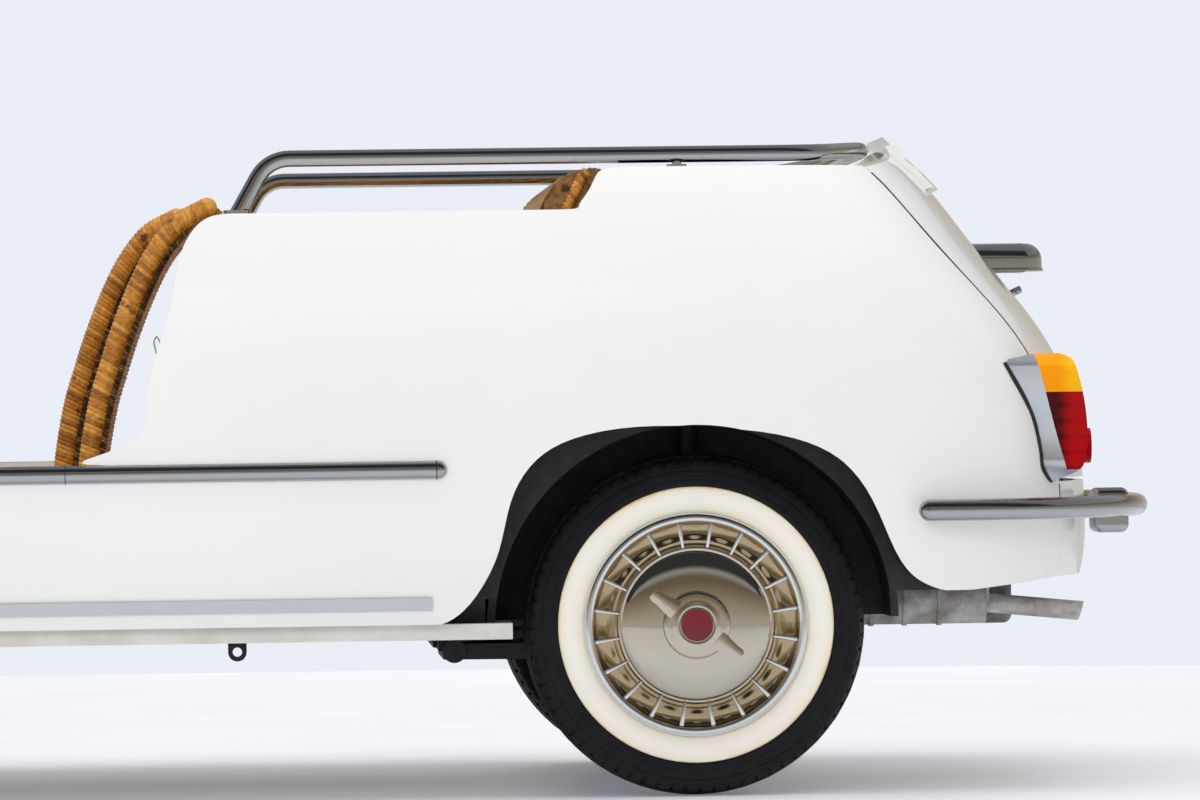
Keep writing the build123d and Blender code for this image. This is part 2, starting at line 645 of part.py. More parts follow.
def driver_controls():
    """Gear lever, hand brake and pedals."""
    lever = rod((330, 0, 330), (310, 0, 540), 6) + Pos(310, 0, 545) * Sphere(19)
    lever += Pos(330, 0, 350) * Cone(30, 10, 30)
    brake = rod((40, 0, 335), (190, 0, 420), 9) + Pos(190, 0, 420) * Sphere(9)
    pedals = []
    for y in (205, 285, 365):
        arm = rod((745, y, 300), (700, y, 420), 6) + Pos(700, y, 420) * Rot(0, 25, 0) * Box(8, 48, 56)
        pedals.append(arm + block(735, 758, y - 12, y + 12, SILL_BOTTOM, 305))
    return [(lever - floor_pan()), (brake - floor_pan())] + pedals


# ---------------------------------------------------------------- running gear
def front_axle():
    """Crossmember with the transverse leaf spring, the upper arms and both kingpins."""
    x = FRONT_AXLE_X
    leaf = make_face([ThreePointArc((0, 158), (260, 162), (510, 172)), Line((510, 172), (510, 186)),
                      ThreePointArc((510, 186), (260, 184), (0, 186)), Line((0, 186), (0, 158))])
    half = front_prism(leaf, x - 30, x + 30)
    half += block(x - 35, x + 35, 0, 55, 180, 345)
    half += block(x - 35, x + 35, 0, 250, 335, 400)
    for spread in (-60, 60):
        half += rod((x + spread, 240, 350), (x + spread / 6, 520, 344), 11)
    pin = Pos(x, KINGPIN_Y, 0)
    half += pin * Pos(0, 0, 258) * Cylinder(KINGPIN_R, 190)
    half += pin * Pos(0, 0, 174) * Cylinder(16, 24) + pin * Pos(0, 0, 344) * Cylinder(16, 22)
    return whole(half)


def front_knuckle():
    """Left steering knuckle: boss on the kingpin, stub axle, brake plate and steering arm."""
    x, y = FRONT_AXLE_X, KINGPIN_Y
    knuckle = Pos(x, y, 259.5) * Cylinder(22, 137)
    knuckle += rod((x, y, HUB_Z), (x, 640, HUB_Z), STUB_R) + rod((x, 547, HUB_Z), (x, 551, HUB_Z), 100)
    knuckle += rod((x - 10, y - 6, 215), (x - 128, y - 30, 215), 9) + Pos(x - 128, y - 30, 215) * Cylinder(12, 26)
    return knuckle - Pos(x, y, HUB_Z) * Cylinder(KINGPIN_R + STUB_PLAY, 200)


def rear_suspension():
    """Left trailing arm with its pivot tube, hub carrier, brake plate, stub axle and damper."""
    x = REAR_AXLE_X
    arm = plan_prism(make_face(Polyline((-540, 150), (-540, 480), (x + 40, 530), (x - 40, 530), (x - 40, 470),
                                        (-600, 150), (-540, 150))), 206, 230)
    arm += cross_rod(-556, 219, 18, 140, 490)
    arm += rod((x, 440, HUB_Z), (x, 547, HUB_Z), 42) + rod((x, 547, HUB_Z), (x, 551, HUB_Z), 100)
    arm += rod((x, 540, HUB_Z), (x, 640, HUB_Z), STUB_R)
    arm += rod((x, 468, HUB_Z), (x, 468, WELL_R + HUB_Z - 3), 16) + rod((x, 468, 330), (x, 468, 480), 26)
    arm += block(-580, -532, 150, 180, 219, FLOOR_Z) + block(-580, -532, 440, 470, 219, FLOOR_Z)
    return arm


def engine_block(cavity):
    """Engine and gearbox as one plain mass, on its front mounting and its rear bearer."""
    mass = fillet(block(-1440, -1010, -170, 150, 240, 640).edges(), 14)
    mass += block(-1020, -720, -108, 108, 186, 350)
    mass += block(-740, -640, -50, 50, 244, 262)
    return mass + (block(-1404, -1380, -620, 620, 330, 360) & cavity)


def drive_shaft():
    """Left half shaft with its boots, from the gearbox to the hub carrier."""
    x = REAR_AXLE_X
    return (rod((x, 108, HUB_Z), (x, 440, HUB_Z), 13) + rod((x, 108, HUB_Z), (x, 160, HUB_Z), 40)
            + rod((x, 404, HUB_Z), (x, 440, HUB_Z), 24))


def silencer():
    """Exhaust silencer with its ribs and hanger, its inlet from the engine, and the slanting tail pipe."""
    y, z = SILENCER_Y, 275.5
    body = rod((-1120, y, z), (-1392, y, z), 33.5)
    for x in (-1210, -1262, -1316):
        body += rod((x, y, z), (x - 7, y, z), 36)
    body += rod((-1150, y, z), (-1150, 150, z), 15)
    body += block(-1398, -1386, y - 15, y + 15, z, 330)
    pipe = rod(TAILPIPE_START, TAILPIPE_END, TAILPIPE_R)
    cut = make_face(Polyline((-1555, 300), (-1529, 220), (-1700, 220), (-1700, 300), (-1555, 300)))
    return body + (pipe - side_prism(cut, 100, 300))


# ---------------------------------------------------------------- wheels
def wheel_plane(x, way):
    """Work plane of a wheel: origin at its centre, Z axis outwards."""
    return Plane(origin=(x, way * WHEEL_Y, HUB_Z), x_dir=(1, 0, 0), z_dir=(0, way, 0))


def tyre():
    """Crossply tyre: crowned tread, full side walls, open bead."""
    bead, side, crown = 48, TYRE_W / 2, TYRE_R - 9
    profile = make_face([
        ThreePointArc((crown, -50), (TYRE_R, 0), (crown, 50)),
        Spline((crown, 50), (236, 61), (208, side), (174, 58), (BEAD_R, bead)),
        Line((BEAD_R, bead), (BEAD_R, -bead)),
        Spline((BEAD_R, -bead), (174, -58), (208, -side), (236, -61), (crown, -50)),
    ])
    return revolve(Plane.XZ * profile, Axis.Z)


def wheel_with_cap():
    """Pressed wheel with its brake drum and a finned hub cap with a two-eared centre."""
    bore = STUB_R + STUB_PLAY
    profile = make_face([
        Polyline((0, 65), (bore, 65), (bore, -20), (100, -20), (100, 14), (140, 20), (140, -58), (BEAD_R, -58),
                 (BEAD_R, 52), (156, 60), (CAP_R, 60)),
        ThreePointArc((CAP_R, 60), (CAP_R - 7, 72), (CAP_R - 14, 64)),
        Polyline((CAP_R - 14, 64), (116, 66), (108, 68)),
        ThreePointArc((108, 68), (84, 80), (52, 85)),
        Polyline((52, 85), (50, 89), (26, 90), (24, 94), (0, 94), (0, 65)),
    ])
    wheel = revolve(Plane.XZ * profile, Axis.Z)
    pocket = make_face(Polyline((119, -13), (150, -17.5), (150, 17.5), (119, 13), (119, -13)))
    wheel -= [Rot(0, 0, 360 * i / FINS) * plan_prism(pocket, 61, 80) for i in range(FINS)]
    ear = make_face([ThreePointArc((30, -20), (82, 0), (30, 20)), Line((30, 20), (30, -20))])
    for turn in (0, 180):
        wheel += Rot(0, 0, turn - 36) * plan_prism(ear, 80, 92)
    return wheel


def trim_parts(outer, cavity):
    """Windscreen, fascia, bright work and lamps, by node name."""
    rim, lens = headlamp()
    housing, amber, red = tail_lamp(outer)
    return {
        "windshield_frame": windshield_frame(),
        "windshield_glass": windshield_glass(),
        "dashboard": dashboard(cavity),
        "waist_mouldings": both(waist_moulding(outer)),
        "sill_mouldings": both(sill_moulding(outer)),
        "hand_rail": hand_rail(),
        "front_bumper": bumper(outer, 1, (1390, 678), (1560, 520)),
        "rear_bumper": bumper(outer, -1, (1264, 697), (1520, 560)),
        "headlamp_rims": both(rim),
        "headlamp_lenses": both(lens),
        "front_indicators": both(front_indicator(outer)),
        "tail_lamp_housings": both(housing),
        "tail_lamp_amber_lenses": both(amber),
        "tail_lamp_red_lenses": both(red),
        "rear_reflectors": both(rear_reflector()),
        "plate_lamp": plate_lamp(),
    }


def cabin_parts():
    """Seats and controls, by node name."""
    return {
        "front_seat_left": front_seat(SEAT_Y, 0),
        "front_seat_right": front_seat(-SEAT_Y, RIGHT_SEAT_SHIFT),
        "rear_seat": rear_seat(),
        "steering_wheel": steering_wheel(),
        "steering_column": steering_column(),
        "driver_controls": driver_controls(),
    }


def running_parts(cavity):
    """Axles, engine, exhaust and wheels, by node name."""
    parts = {
        "front_axle": front_axle(),
        "front_left_knuckle": front_knuckle(),
        "front_right_knuckle": mirrored(front_knuckle()),
        "rear_suspension": both(rear_suspension()),
        "drive_shafts": both(drive_shaft()),
        "engine_block": engine_block(cavity),
        "silencer": silencer(),
    }
    rubber, steel = tyre(), wheel_with_cap()
    for end, x in (("front", FRONT_AXLE_X), ("rear", REAR_AXLE_X)):
        for side, way in (("left", 1), ("right", -1)):
            parts[f"{end}_{side}_tyre"] = wheel_plane(x, way) * rubber
            parts[f"{end}_{side}_wheel"] = wheel_plane(x, way) * steel
    return parts


def main():
    os.makedirs("parts", exist_ok=True)
    outer, top = hull(), top_form()
    cavity = hull(WALL) & (block(-1700, 560, -700, 700, 0, 1100) + top_form(SKIN))
    nodes = body_parts(outer, top, cavity) | trim_parts(outer, cavity) | cabin_parts() | running_parts(cavity)
    for name, shape in nodes.items():
        write(name, shape)


if __name__ == "__main__":
    main()
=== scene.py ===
"""Looks of the open beach car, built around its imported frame.

Metres, in the frame's own axes: X forward, Y to the car's left, Z up from the ground.
"""
import math
import random

import bmesh
import bpy
from mathutils import Matrix, Vector
from mathutils.bvhtree import BVHTree


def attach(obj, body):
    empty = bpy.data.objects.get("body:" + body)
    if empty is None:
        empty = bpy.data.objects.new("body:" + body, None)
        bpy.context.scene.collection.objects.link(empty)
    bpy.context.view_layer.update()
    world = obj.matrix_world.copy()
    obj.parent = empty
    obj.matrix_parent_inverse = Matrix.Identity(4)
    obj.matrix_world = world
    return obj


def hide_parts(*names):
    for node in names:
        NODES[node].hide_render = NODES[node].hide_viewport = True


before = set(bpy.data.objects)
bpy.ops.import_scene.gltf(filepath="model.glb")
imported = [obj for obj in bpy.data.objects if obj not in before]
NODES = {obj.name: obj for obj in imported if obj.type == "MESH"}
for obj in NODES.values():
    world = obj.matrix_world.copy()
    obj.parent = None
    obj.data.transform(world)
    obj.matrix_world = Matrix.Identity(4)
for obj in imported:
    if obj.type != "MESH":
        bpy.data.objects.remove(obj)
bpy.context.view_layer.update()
scene = bpy.context.scene
MM = 0.001
AXLE_X = {"front": 1.085, "rear": -0.915}
HUB_Z = 0.258
WHEEL_Y = 0.577


# ---------------------------------------------------------------- helpers
def colour(code):
    """Linear RGBA of an sRGB hex colour."""
    parts = [int(code[i:i + 2], 16) / 255 for i in (1, 3, 5)]
    return [c / 12.92 if c <= 0.04045 else ((c + 0.055) / 1.055) ** 2.4 for c in parts] + [1.0]


def add(tree, kind, inputs=None, stops=None, **settings):
    """Adds a shader node: sockets take values, hex colours or other sockets; stops are a ramp's colours."""
    node = tree.nodes.new("ShaderNode" + kind)
    for key, value in settings.items():
        setattr(node, key, value)
    for key, value in (inputs or {}).items():
        if isinstance(value, bpy.types.NodeSocket):
            tree.links.new(value, node.inputs[key])
        else:
            node.inputs[key].default_value = colour(value) if isinstance(value, str) else value
    for place, (at, code) in enumerate(stops or []):
        marks = node.color_ramp.elements
        mark = marks[place] if place < 2 else marks.new(at)
        mark.position, mark.color = at, colour(code)
    return node


def finish(name, **sockets):
    """A new material with a principled shader: the material, its tree, the shader and object coordinates."""
    made = bpy.data.materials.new(name)
    made.use_nodes = True
    tree = made.node_tree
    tree.nodes.clear()
    shader = add(tree, "BsdfPrincipled", {key.replace("_", " "): value for key, value in sockets.items()})
    add(tree, "OutputMaterial", {"Surface": shader.outputs[0]})
    return made, tree, shader, add(tree, "TexCoord").outputs["Object"]


def link(tree, shader, **sockets):
    """Links outputs into the shader's sockets."""
    for key, value in sockets.items():
        tree.links.new(value, shader.inputs[key.replace("_", " ")])


def piece(name, bm, finishes, body, slot, stands_for=(), crease=38):
    """Turns a bmesh into a shown piece that rides on a body; edges sharper than crease degrees stay sharp."""
    mesh = bpy.data.meshes.new(name)
    bm.to_mesh(mesh)
    bm.free()
    for made in finishes:
        mesh.materials.append(made)
    mesh.shade_smooth()
    mesh.set_sharp_from_angle(angle=math.radians(crease))
    obj = bpy.data.objects.new(name, mesh)
    scene.collection.objects.link(obj)
    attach(obj, body)
    if stands_for:
        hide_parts(*stands_for)


def in_mm(pairs):
    """Pairs of millimetres as metres."""
    return [(a * MM, b * MM) for a, b in pairs]


def points_of(geometry):
    """The vertices among what an operator returns."""
    return [g for g in geometry if isinstance(g, bmesh.types.BMVert)]


def join(target, part, place=Matrix.Identity(4), finish_index=None):
    """Moves part by place and adds it to target."""
    part.transform(place)
    if finish_index is not None:
        for face in part.faces:
            face.material_index = finish_index
    spare = bpy.data.meshes.new("spare")
    part.to_mesh(spare)
    part.free()
    target.from_mesh(spare)
    bpy.data.meshes.remove(spare)


def turned(profile, steps, closed=False):
    """A shape spun about Z from a profile of (radius, height)."""
    bm = bmesh.new()
    verts = [bm.verts.new((r, 0.0, h)) for r, h in profile]
    edges = [bm.edges.new(pair) for pair in zip(verts, verts[1:])]
    if closed:
        edges.append(bm.edges.new((verts[-1], verts[0])))
    bmesh.ops.spin(bm, geom=verts + edges, axis=(0, 0, 1), cent=(0, 0, 0), dvec=(0, 0, 0),
                   angle=math.tau, steps=steps, use_merge=True)
    bmesh.ops.remove_doubles(bm, verts=bm.verts, dist=1e-6)
    bmesh.ops.recalc_face_normals(bm, faces=bm.faces)
    return bm


def slab(size, soft=0.0, segments=2):
    """A block of that size round its centre, its edges rounded by soft."""
    bm = bmesh.new()
    bmesh.ops.create_cube(bm, size=1.0, matrix=Matrix.Diagonal((*size, 1.0)))
    if soft:
        bmesh.ops.bevel(bm, geom=bm.edges[:], offset=soft, segments=segments, affect="EDGES", profile=0.5,
                        material=-1)
    return bm


def drum(radius, length, sides=32, soft=0.0):
    """A cylinder along Z from the origin, its rims rounded by soft."""
    s = min(soft, radius * 0.9)
    middle = 0.7071 * s
    rounding = [(radius, length - s), (radius - s + middle, length - s + middle), (radius - s, length)]
    return turned([(0, 0), (radius, 0)] + (rounding if s else [(radius, length)]) + [(0, length)], sides)


def aim(origin, direction):
    """A place whose Z axis points along direction."""
    return Matrix.Translation(origin) @ Vector(direction).to_track_quat("Z", "Y").to_matrix().to_4x4()


def smooth_path(points, count):
    """Even points along a smooth curve through the given ones."""
    points = [Vector(p) for p in points]
    dense = []
    padded = [2 * points[0] - points[1]] + points + [2 * points[-1] - points[-2]]
    for a, b, c, d in zip(padded, padded[1:], padded[2:], padded[3:]):
        for i in range(24):
            t = i / 24
            dense.append(0.5 * (2 * b + (c - a) * t + (2 * a - 5 * b + 4 * c - d) * t * t
                                + (3 * b - a - 3 * c + d) * t ** 3))
    dense.append(points[-1])
    reach = [0.0]
    for a, b in zip(dense, dense[1:]):
        reach.append(reach[-1] + (b - a).length)
    out, k = [], 0
    for i in range(count):
        want = reach[-1] * i / (count - 1)
        while k < len(dense) - 2 and reach[k + 1] < want:
            k += 1
        t = (want - reach[k]) / max(reach[k + 1] - reach[k], 1e-9)
        out.append(dense[k].lerp(dense[k + 1], min(max(t, 0), 1)))
    return out


def tube(points, radius, sides=12, ends=True):
    """A round bar along points: a ring of vertices is extruded from point to point and turned to the path."""
    bm = bmesh.new()
    points = [Vector(p) for p in points]
    ways = [(b - a).normalized() for a, b in zip(points, points[1:])]
    ways = [ways[0]] + [(a + b).normalized() for a, b in zip(ways, ways[1:])] + [ways[-1]]
    turn = ways[0].to_track_quat("Z", "Y")
    made = bmesh.ops.create_circle(bm, segments=sides, radius=radius, cap_ends=False)
    ring = made["verts"]
    bmesh.ops.transform(bm, matrix=Matrix.Translation(points[0]) @ turn.to_matrix().to_4x4(), verts=ring)
    first = list(ring)
    edges = list({e for v in ring for e in v.link_edges})
    for k in range(1, len(points)):
        out = bmesh.ops.extrude_edge_only(bm, edges=edges)["geom"]
        ring = points_of(out)
        edges = [g for g in out if isinstance(g, bmesh.types.BMEdge)]
        bend = ways[k - 1].rotation_difference(ways[k]).to_matrix().to_4x4()
        move = Matrix.Translation(points[k]) @ bend @ Matrix.Translation(-points[k - 1])
        bmesh.ops.transform(bm, matrix=move, verts=ring)
    if ends:
        bmesh.ops.contextual_create(bm, geom=first)
        bmesh.ops.contextual_create(bm, geom=ring)
    bmesh.ops.recalc_face_normals(bm, faces=bm.faces)
    return bm


def both_sides(bm):
    """Adds the mirror image across the car's middle."""
    made = bmesh.ops.duplicate(bm, geom=bm.verts[:] + bm.edges[:] + bm.faces[:])["geom"]
    faces = [g for g in made if isinstance(g, bmesh.types.BMFace)]
    bmesh.ops.scale(bm, vec=(1, -1, 1), verts=points_of(made))
    bmesh.ops.reverse_faces(bm, faces=faces)
    return bm


def skin(name):
    """The surface of a CAD node, to cast rays at."""
    mesh = NODES[name].data
    return BVHTree.FromPolygons([v.co for v in mesh.vertices], [p.vertices for p in mesh.polygons])


def drop(tree, origin, direction, lift=0.0):
    """Where a ray first meets a surface, moved back along the ray by lift."""
    way = Vector(direction).normalized()
    hit = tree.ray_cast(Vector(origin), way)[0]
    return hit - way * lift if hit else None


# ---------------------------------------------------------------- finishes
def body_enamel():
    """Two-pack enamel in ivory white, sprayed and polished: even colour, deep gloss, faint orange peel."""
    made, tree, shader, place = finish("ivory_enamel", Roughness=0.22, Coat_Weight=1.0, Coat_Roughness=0.035)
    cloud = add(tree, "TexNoise", {"Vector": place, "Scale": 2.5, "Detail": 3.0})
    tone = add(tree, "ValToRGB", {"Fac": cloud.outputs["Fac"]}, stops=[(0.3, "#F1F0EA"), (0.7, "#F4F3EE")])
    peel = add(tree, "TexNoise", {"Vector": place, "Scale": 260.0, "Detail": 1.0})
    link(tree, shader, Base_Color=tone.outputs["Color"])
    bump = add(tree, "Bump", {"Height": peel.outputs["Fac"], "Distance": 0.00003, "Strength": 0.35})
    link(tree, shader, Normal=bump.outputs[0])
    return made


def floor_enamel():
    """The same enamel under foot: satin from scuffing, with sand and dust worked in."""
    made, tree, shader, place = finish("scuffed_floor_enamel", Roughness=0.5, Coat_Weight=0.15)
    dust = add(tree, "TexNoise", {"Vector": place, "Scale": 9.0, "Detail": 8.0, "Roughness": 0.65})
    tone = add(tree, "ValToRGB", {"Fac": dust.outputs["Fac"]}, stops=[(0.35, "#CFCBBE"), (0.65, "#E6E3DA")])
    link(tree, shader, Base_Color=tone.outputs["Color"])
    bump = add(tree, "Bump", {"Height": dust.outputs["Fac"], "Distance": 0.0004, "Strength": 0.3})
    link(tree, shader, Normal=bump.outputs[0])
    return made


def bright_chrome(name="polished_chrome", tint="#ABAEB0", smear=0.10):
    """Chromium plate on steel: a mirror with faint polishing haze."""
    made, tree, shader, place = finish(name, Metallic=1.0, Base_Color=tint)
    haze = add(tree, "TexNoise", {"Vector": place, "Scale": 14.0, "Detail": 5.0})
    rough = add(tree, "MapRange", {"Value": haze.outputs["Fac"], 3: 0.03, 4: smear})
    link(tree, shader, Roughness=rough.outputs["Result"])
    return made


def satin_aluminium():
    """Rolled aluminium strip, brushed along its length and lightly oxidised."""
    made, tree, shader, place = finish("brushed_aluminium", Metallic=1.0, Base_Color="#C9CCCE")
    grain = add(tree, "Mapping", {"Vector": place, "Scale": (6.0, 700.0, 700.0)})
    lines = add(tree, "TexNoise", {"Vector": grain.outputs[0], "Scale": 1.0, "Detail": 3.0})
    rough = add(tree, "MapRange", {"Value": lines.outputs["Fac"], 3: 0.24, 4: 0.42})
    link(tree, shader, Roughness=rough.outputs["Result"])
    return made


def window_glass():
    """Laminated safety glass: clear, a little green in its thickness."""
    made, tree, shader, place = finish("laminated_glass", Base_Color="#EFF6F2", IOR=1.52,
                                       Transmission_Weight=1.0)
    dust = add(tree, "TexNoise", {"Vector": place, "Scale": 30.0, "Detail": 6.0})
    rough = add(tree, "MapRange", {"Value": dust.outputs["Fac"], 3: 0.0, 4: 0.03})
    link(tree, shader, Roughness=rough.outputs["Result"])
    return made


def clear_lens():
    """Pressed glass of a headlamp with vertical flutes."""
    made, tree, shader, place = finish("fluted_clear_lens", Base_Color="#F4F6F4", Roughness=0.08, IOR=1.49,
                                       Transmission_Weight=0.9)
    wave = add(tree, "TexWave", {"Vector": place, "Scale": 60.0}, bands_direction="Y")
    bump = add(tree, "Bump", {"Height": wave.outputs["Fac"], "Distance": 0.0006, "Strength": 0.5})
    link(tree, shader, Normal=bump.outputs[0])
    return made


# Where a tail lens is painted darkest, as painted shade, and where it is painted brightest, as a painted
# highlight.
LENS_PAINTED_SHADE_X, LENS_PAINTED_HIGHLIGHT_X = -1.468, -1.496


def coloured_lens(name, deep, bright):
    """Moulded acrylic with light painted into its colour: painted shade forward, a painted highlight at its
    rear edge, and bands of painted shade at the prism steps.
    """
    made, tree, shader, place = finish(name, Roughness=0.25, Specular_IOR_Level=0.12)
    split = add(tree, "SeparateXYZ", {"Vector": place})
    # Painted shade and highlight: the colour deepens forward and brightens towards the rear edge.
    depth = add(tree, "MapRange", {"Value": split.outputs["X"], 1: LENS_PAINTED_SHADE_X, 2: LENS_PAINTED_HIGHLIGHT_X},
                interpolation_type="SMOOTHSTEP")
    step = add(tree, "TexWave", {"Vector": place, "Scale": 13.0}, bands_direction="Z")
    # Painted shade: the colour darkens in bands at the prism steps.
    step_shade = add(tree, "MapRange", {"Value": step.outputs["Fac"], 1: 0.1, 2: 0.3, 3: -0.25, 4: 0.0})
    level = add(tree, "Math", {0: depth.outputs[0], 1: step_shade.outputs[0]}, operation="ADD")
    tone = add(tree, "ValToRGB", {"Fac": level.outputs[0]}, stops=[(0.0, deep), (0.9, bright)])
    ridge = add(tree, "TexWave", {"Vector": place, "Scale": 170.0}, bands_direction="Z")
    bump = add(tree, "Bump", {"Height": ridge.outputs["Fac"], "Distance": 0.0005, "Strength": 0.4})
    link(tree, shader, Base_Color=tone.outputs["Color"], Normal=bump.outputs[0])
    return made


def lamp_casting():
    """Die-cast lamp body, polished once and gone grey."""
    made, tree, shader, place = finish("weathered_die_casting", Metallic=0.7, Base_Color="#C6CACE")
    pits = add(tree, "TexNoise", {"Vector": place, "Scale": 90.0, "Detail": 8.0})
    rough = add(tree, "MapRange", {"Value": pits.outputs["Fac"], 3: 0.22, 4: 0.5})
    link(tree, shader, Roughness=rough.outputs["Result"])
    bump = add(tree, "Bump", {"Height": pits.outputs["Fac"], "Distance": 0.0002, "Strength": 0.4})
    link(tree, shader, Normal=bump.outputs[0])
    return made


def cane(name="varnished_cane", dark="#5E320C", mid="#C37D20", light="#E9AC4B"):
    """Split rattan under shellac: honey brown strips that differ from turn to turn; low strip tones turn
    dark, and the sunk cells of a weave carry painted shade in their tone.
    """
    made, tree, shader, place = finish(name, Roughness=0.42, Coat_Weight=0.2, Coat_Roughness=0.2)
    strip = add(tree, "Attribute", attribute_name="strip").outputs["Fac"]
    fibre = add(tree, "TexNoise", {"Vector": place, "Scale": 120.0, "Detail": 6.0, "Roughness": 0.7})
    spot = add(tree, "TexNoise", {"Vector": place, "Scale": 34.0, "Detail": 3.0})
    spots = add(tree, "MapRange", {"Value": spot.outputs["Fac"], 1: 0.60, 2: 0.70, 3: 0.0, 4: 0.45})
    grain = add(tree, "MapRange", {"Value": fibre.outputs["Fac"], 3: -0.05, 4: 0.42})
    level = add(tree, "Math", {0: strip, 1: fibre.outputs["Fac"], 2: grain.outputs[0]},
                operation="MULTIPLY_ADD")
    worn = add(tree, "Math", {0: level.outputs[0], 1: spots.outputs[0]}, operation="SUBTRACT")
    tone = add(tree, "ValToRGB", {"Fac": worn.outputs[0]}, stops=[(0.08, dark), (0.85, light), (0.45, mid)])
    link(tree, shader, Base_Color=tone.outputs["Color"])
    bump = add(tree, "Bump", {"Height": fibre.outputs["Fac"], "Distance": 0.0005, "Strength": 0.5})
    link(tree, shader, Normal=bump.outputs[0])
    return made


def tread_rubber():
    """Carbon-black tyre rubber: dull, with dust in its grain."""
    made, tree, shader, place = finish("tyre_rubber", Roughness=0.62, Specular_IOR_Level=0.3)
    dust = add(tree, "TexNoise", {"Vector": place, "Scale": 22.0, "Detail": 9.0, "Roughness": 0.7})
    tone = add(tree, "ValToRGB", {"Fac": dust.outputs["Fac"]}, stops=[(0.4, "#0B0C0F"), (0.75, "#191B1F")])
    link(tree, shader, Base_Color=tone.outputs["Color"])
    bump = add(tree, "Bump", {"Height": dust.outputs["Fac"], "Distance": 0.0004, "Strength": 0.35})
    link(tree, shader, Normal=bump.outputs[0])
    return made


def whitewall_rubber():
    """White side-wall rubber gone cream, tan where brown stain has crept in from its two edges."""
    made, tree, shader, place = finish("cream_whitewall_rubber", Roughness=0.5)
    edge = add(tree, "Attribute", attribute_name="edge").outputs["Fac"]
    stain = add(tree, "TexNoise", {"Vector": place, "Scale": 12.0, "Detail": 5.0})
    level = add(tree, "Math", {0: edge, 1: stain.outputs["Fac"]}, operation="MULTIPLY")
    tone = add(tree, "ValToRGB", {"Fac": level.outputs[0]},
               stops=[(0.0, "#F8F2E5"), (0.6, "#DDBE90"), (0.3, "#F2E8D2")])
    link(tree, shader, Base_Color=tone.outputs["Color"])
    return made


def uneven(name, low, high, rough, scale=40.0, bump=0.0002, metallic=0.0, coat=0.0):
    """Metal, rubber or plastic with an uneven tone between two colours, and bumps from the same grain."""
    made, tree, shader, place = finish(name, Metallic=metallic, Roughness=rough, Coat_Weight=coat,
                                       Coat_Roughness=0.1)
    grain = add(tree, "TexNoise", {"Vector": place, "Scale": scale, "Detail": 8.0, "Roughness": 0.6})
    tone = add(tree, "ValToRGB", {"Fac": grain.outputs["Fac"]}, stops=[(0.35, low), (0.68, high)])
    link(tree, shader, Base_Color=tone.outputs["Color"])
    bump = add(tree, "Bump", {"Height": grain.outputs["Fac"], "Distance": bump, "Strength": 0.5})
    link(tree, shader, Normal=bump.outputs[0])
    return made


ENAMEL = body_enamel()
FLOOR_ENAMEL = floor_enamel()
CHROME = bright_chrome()
CAP_CHROME = bright_chrome("hub_cap_chrome", "#C9C2B4", 0.08)
# Chrome of the hub caps' pockets, its tint warmed to the golden reflection the polished pockets show: painted
# reflection.
WARM_TINTED_POCKET_CHROME = bright_chrome("pocket_chrome_painted_warm", "#B3A080", 0.14)
FIN_CHROME = bright_chrome("fin_chrome", "#E1E4E6", 0.16)
ALUMINIUM = satin_aluminium()
GLASS = window_glass()
LENS_CLEAR = clear_lens()
LENS_AMBER = coloured_lens("amber_acrylic_lens", "#FF9E00", "#FFBC10")
LENS_RED = coloured_lens("red_acrylic_lens", "#4A0006", "#AE0007")
LAMP_METAL = lamp_casting()
CANE = cane()
WOVEN_CANE = cane("unvarnished_cane_weave", "#4A2C12", "#A5753D", "#CDA066")
# Darker cane for the braids tucked beside the front seats' side rolls and for the bases under the seats'
# pans.
DARK_CANE = cane("darker_cane_braid_and_base", "#170E07", "#5B3D1C", "#A98450")
TREAD = tread_rubber()
WHITEWALL = whitewall_rubber()
# Bakelite-like plastic of the steering wheel: ivory, polished by hands.
IVORY_PLASTIC = uneven("ivory_moulded_plastic", "#DDD5BF", "#E8E1CE", 0.28, 25.0, 0.0001, coat=0.4)
# Moulded black rubber and plastic of gaskets, pads and knobs.
BLACK_RUBBER = uneven("black_moulded_rubber", "#15161A", "#232428", 0.55, 60.0)
# Rubberised underseal brushed on the floor and the axles.
UNDERSEAL = uneven("black_underseal", "#121214", "#26262A", 0.6, 55.0, 0.0008)
# Cast aluminium of the engine and gearbox, grey with oil mist.
ENGINE_ALLOY = uneven("oily_cast_aluminium", "#6E6F70", "#9C9D9C", 0.5, 30.0, 0.0006, metallic=0.8)
# Aluminised steel of the silencer: mottled grey, brown where it has rusted through.
SILENCER_STEEL = uneven("heat_stained_steel", "#A79C92", "#F2F1EC", 0.5, 26.0, 0.0005, metallic=0.1)
# Vitreous red enamel of the plain centre disc of a hub cap.
RED_ENAMEL = uneven("red_enamel_disc", "#6B0A18", "#82101F", 0.25, 15.0, 0.00005, coat=0.2)
# Hard white nylon of the buffers on the sills.
WHITE_NYLON = uneven("white_nylon", "#F2F1EE", "#F8F7F4", 0.35, 30.0, 0.00005)
# Aluminium lacquer of the pressed wheel.
WHEEL_PAINT = uneven("silver_wheel_paint", "#8E9092", "#AEB0B2", 0.4, 40.0, metallic=0.4)

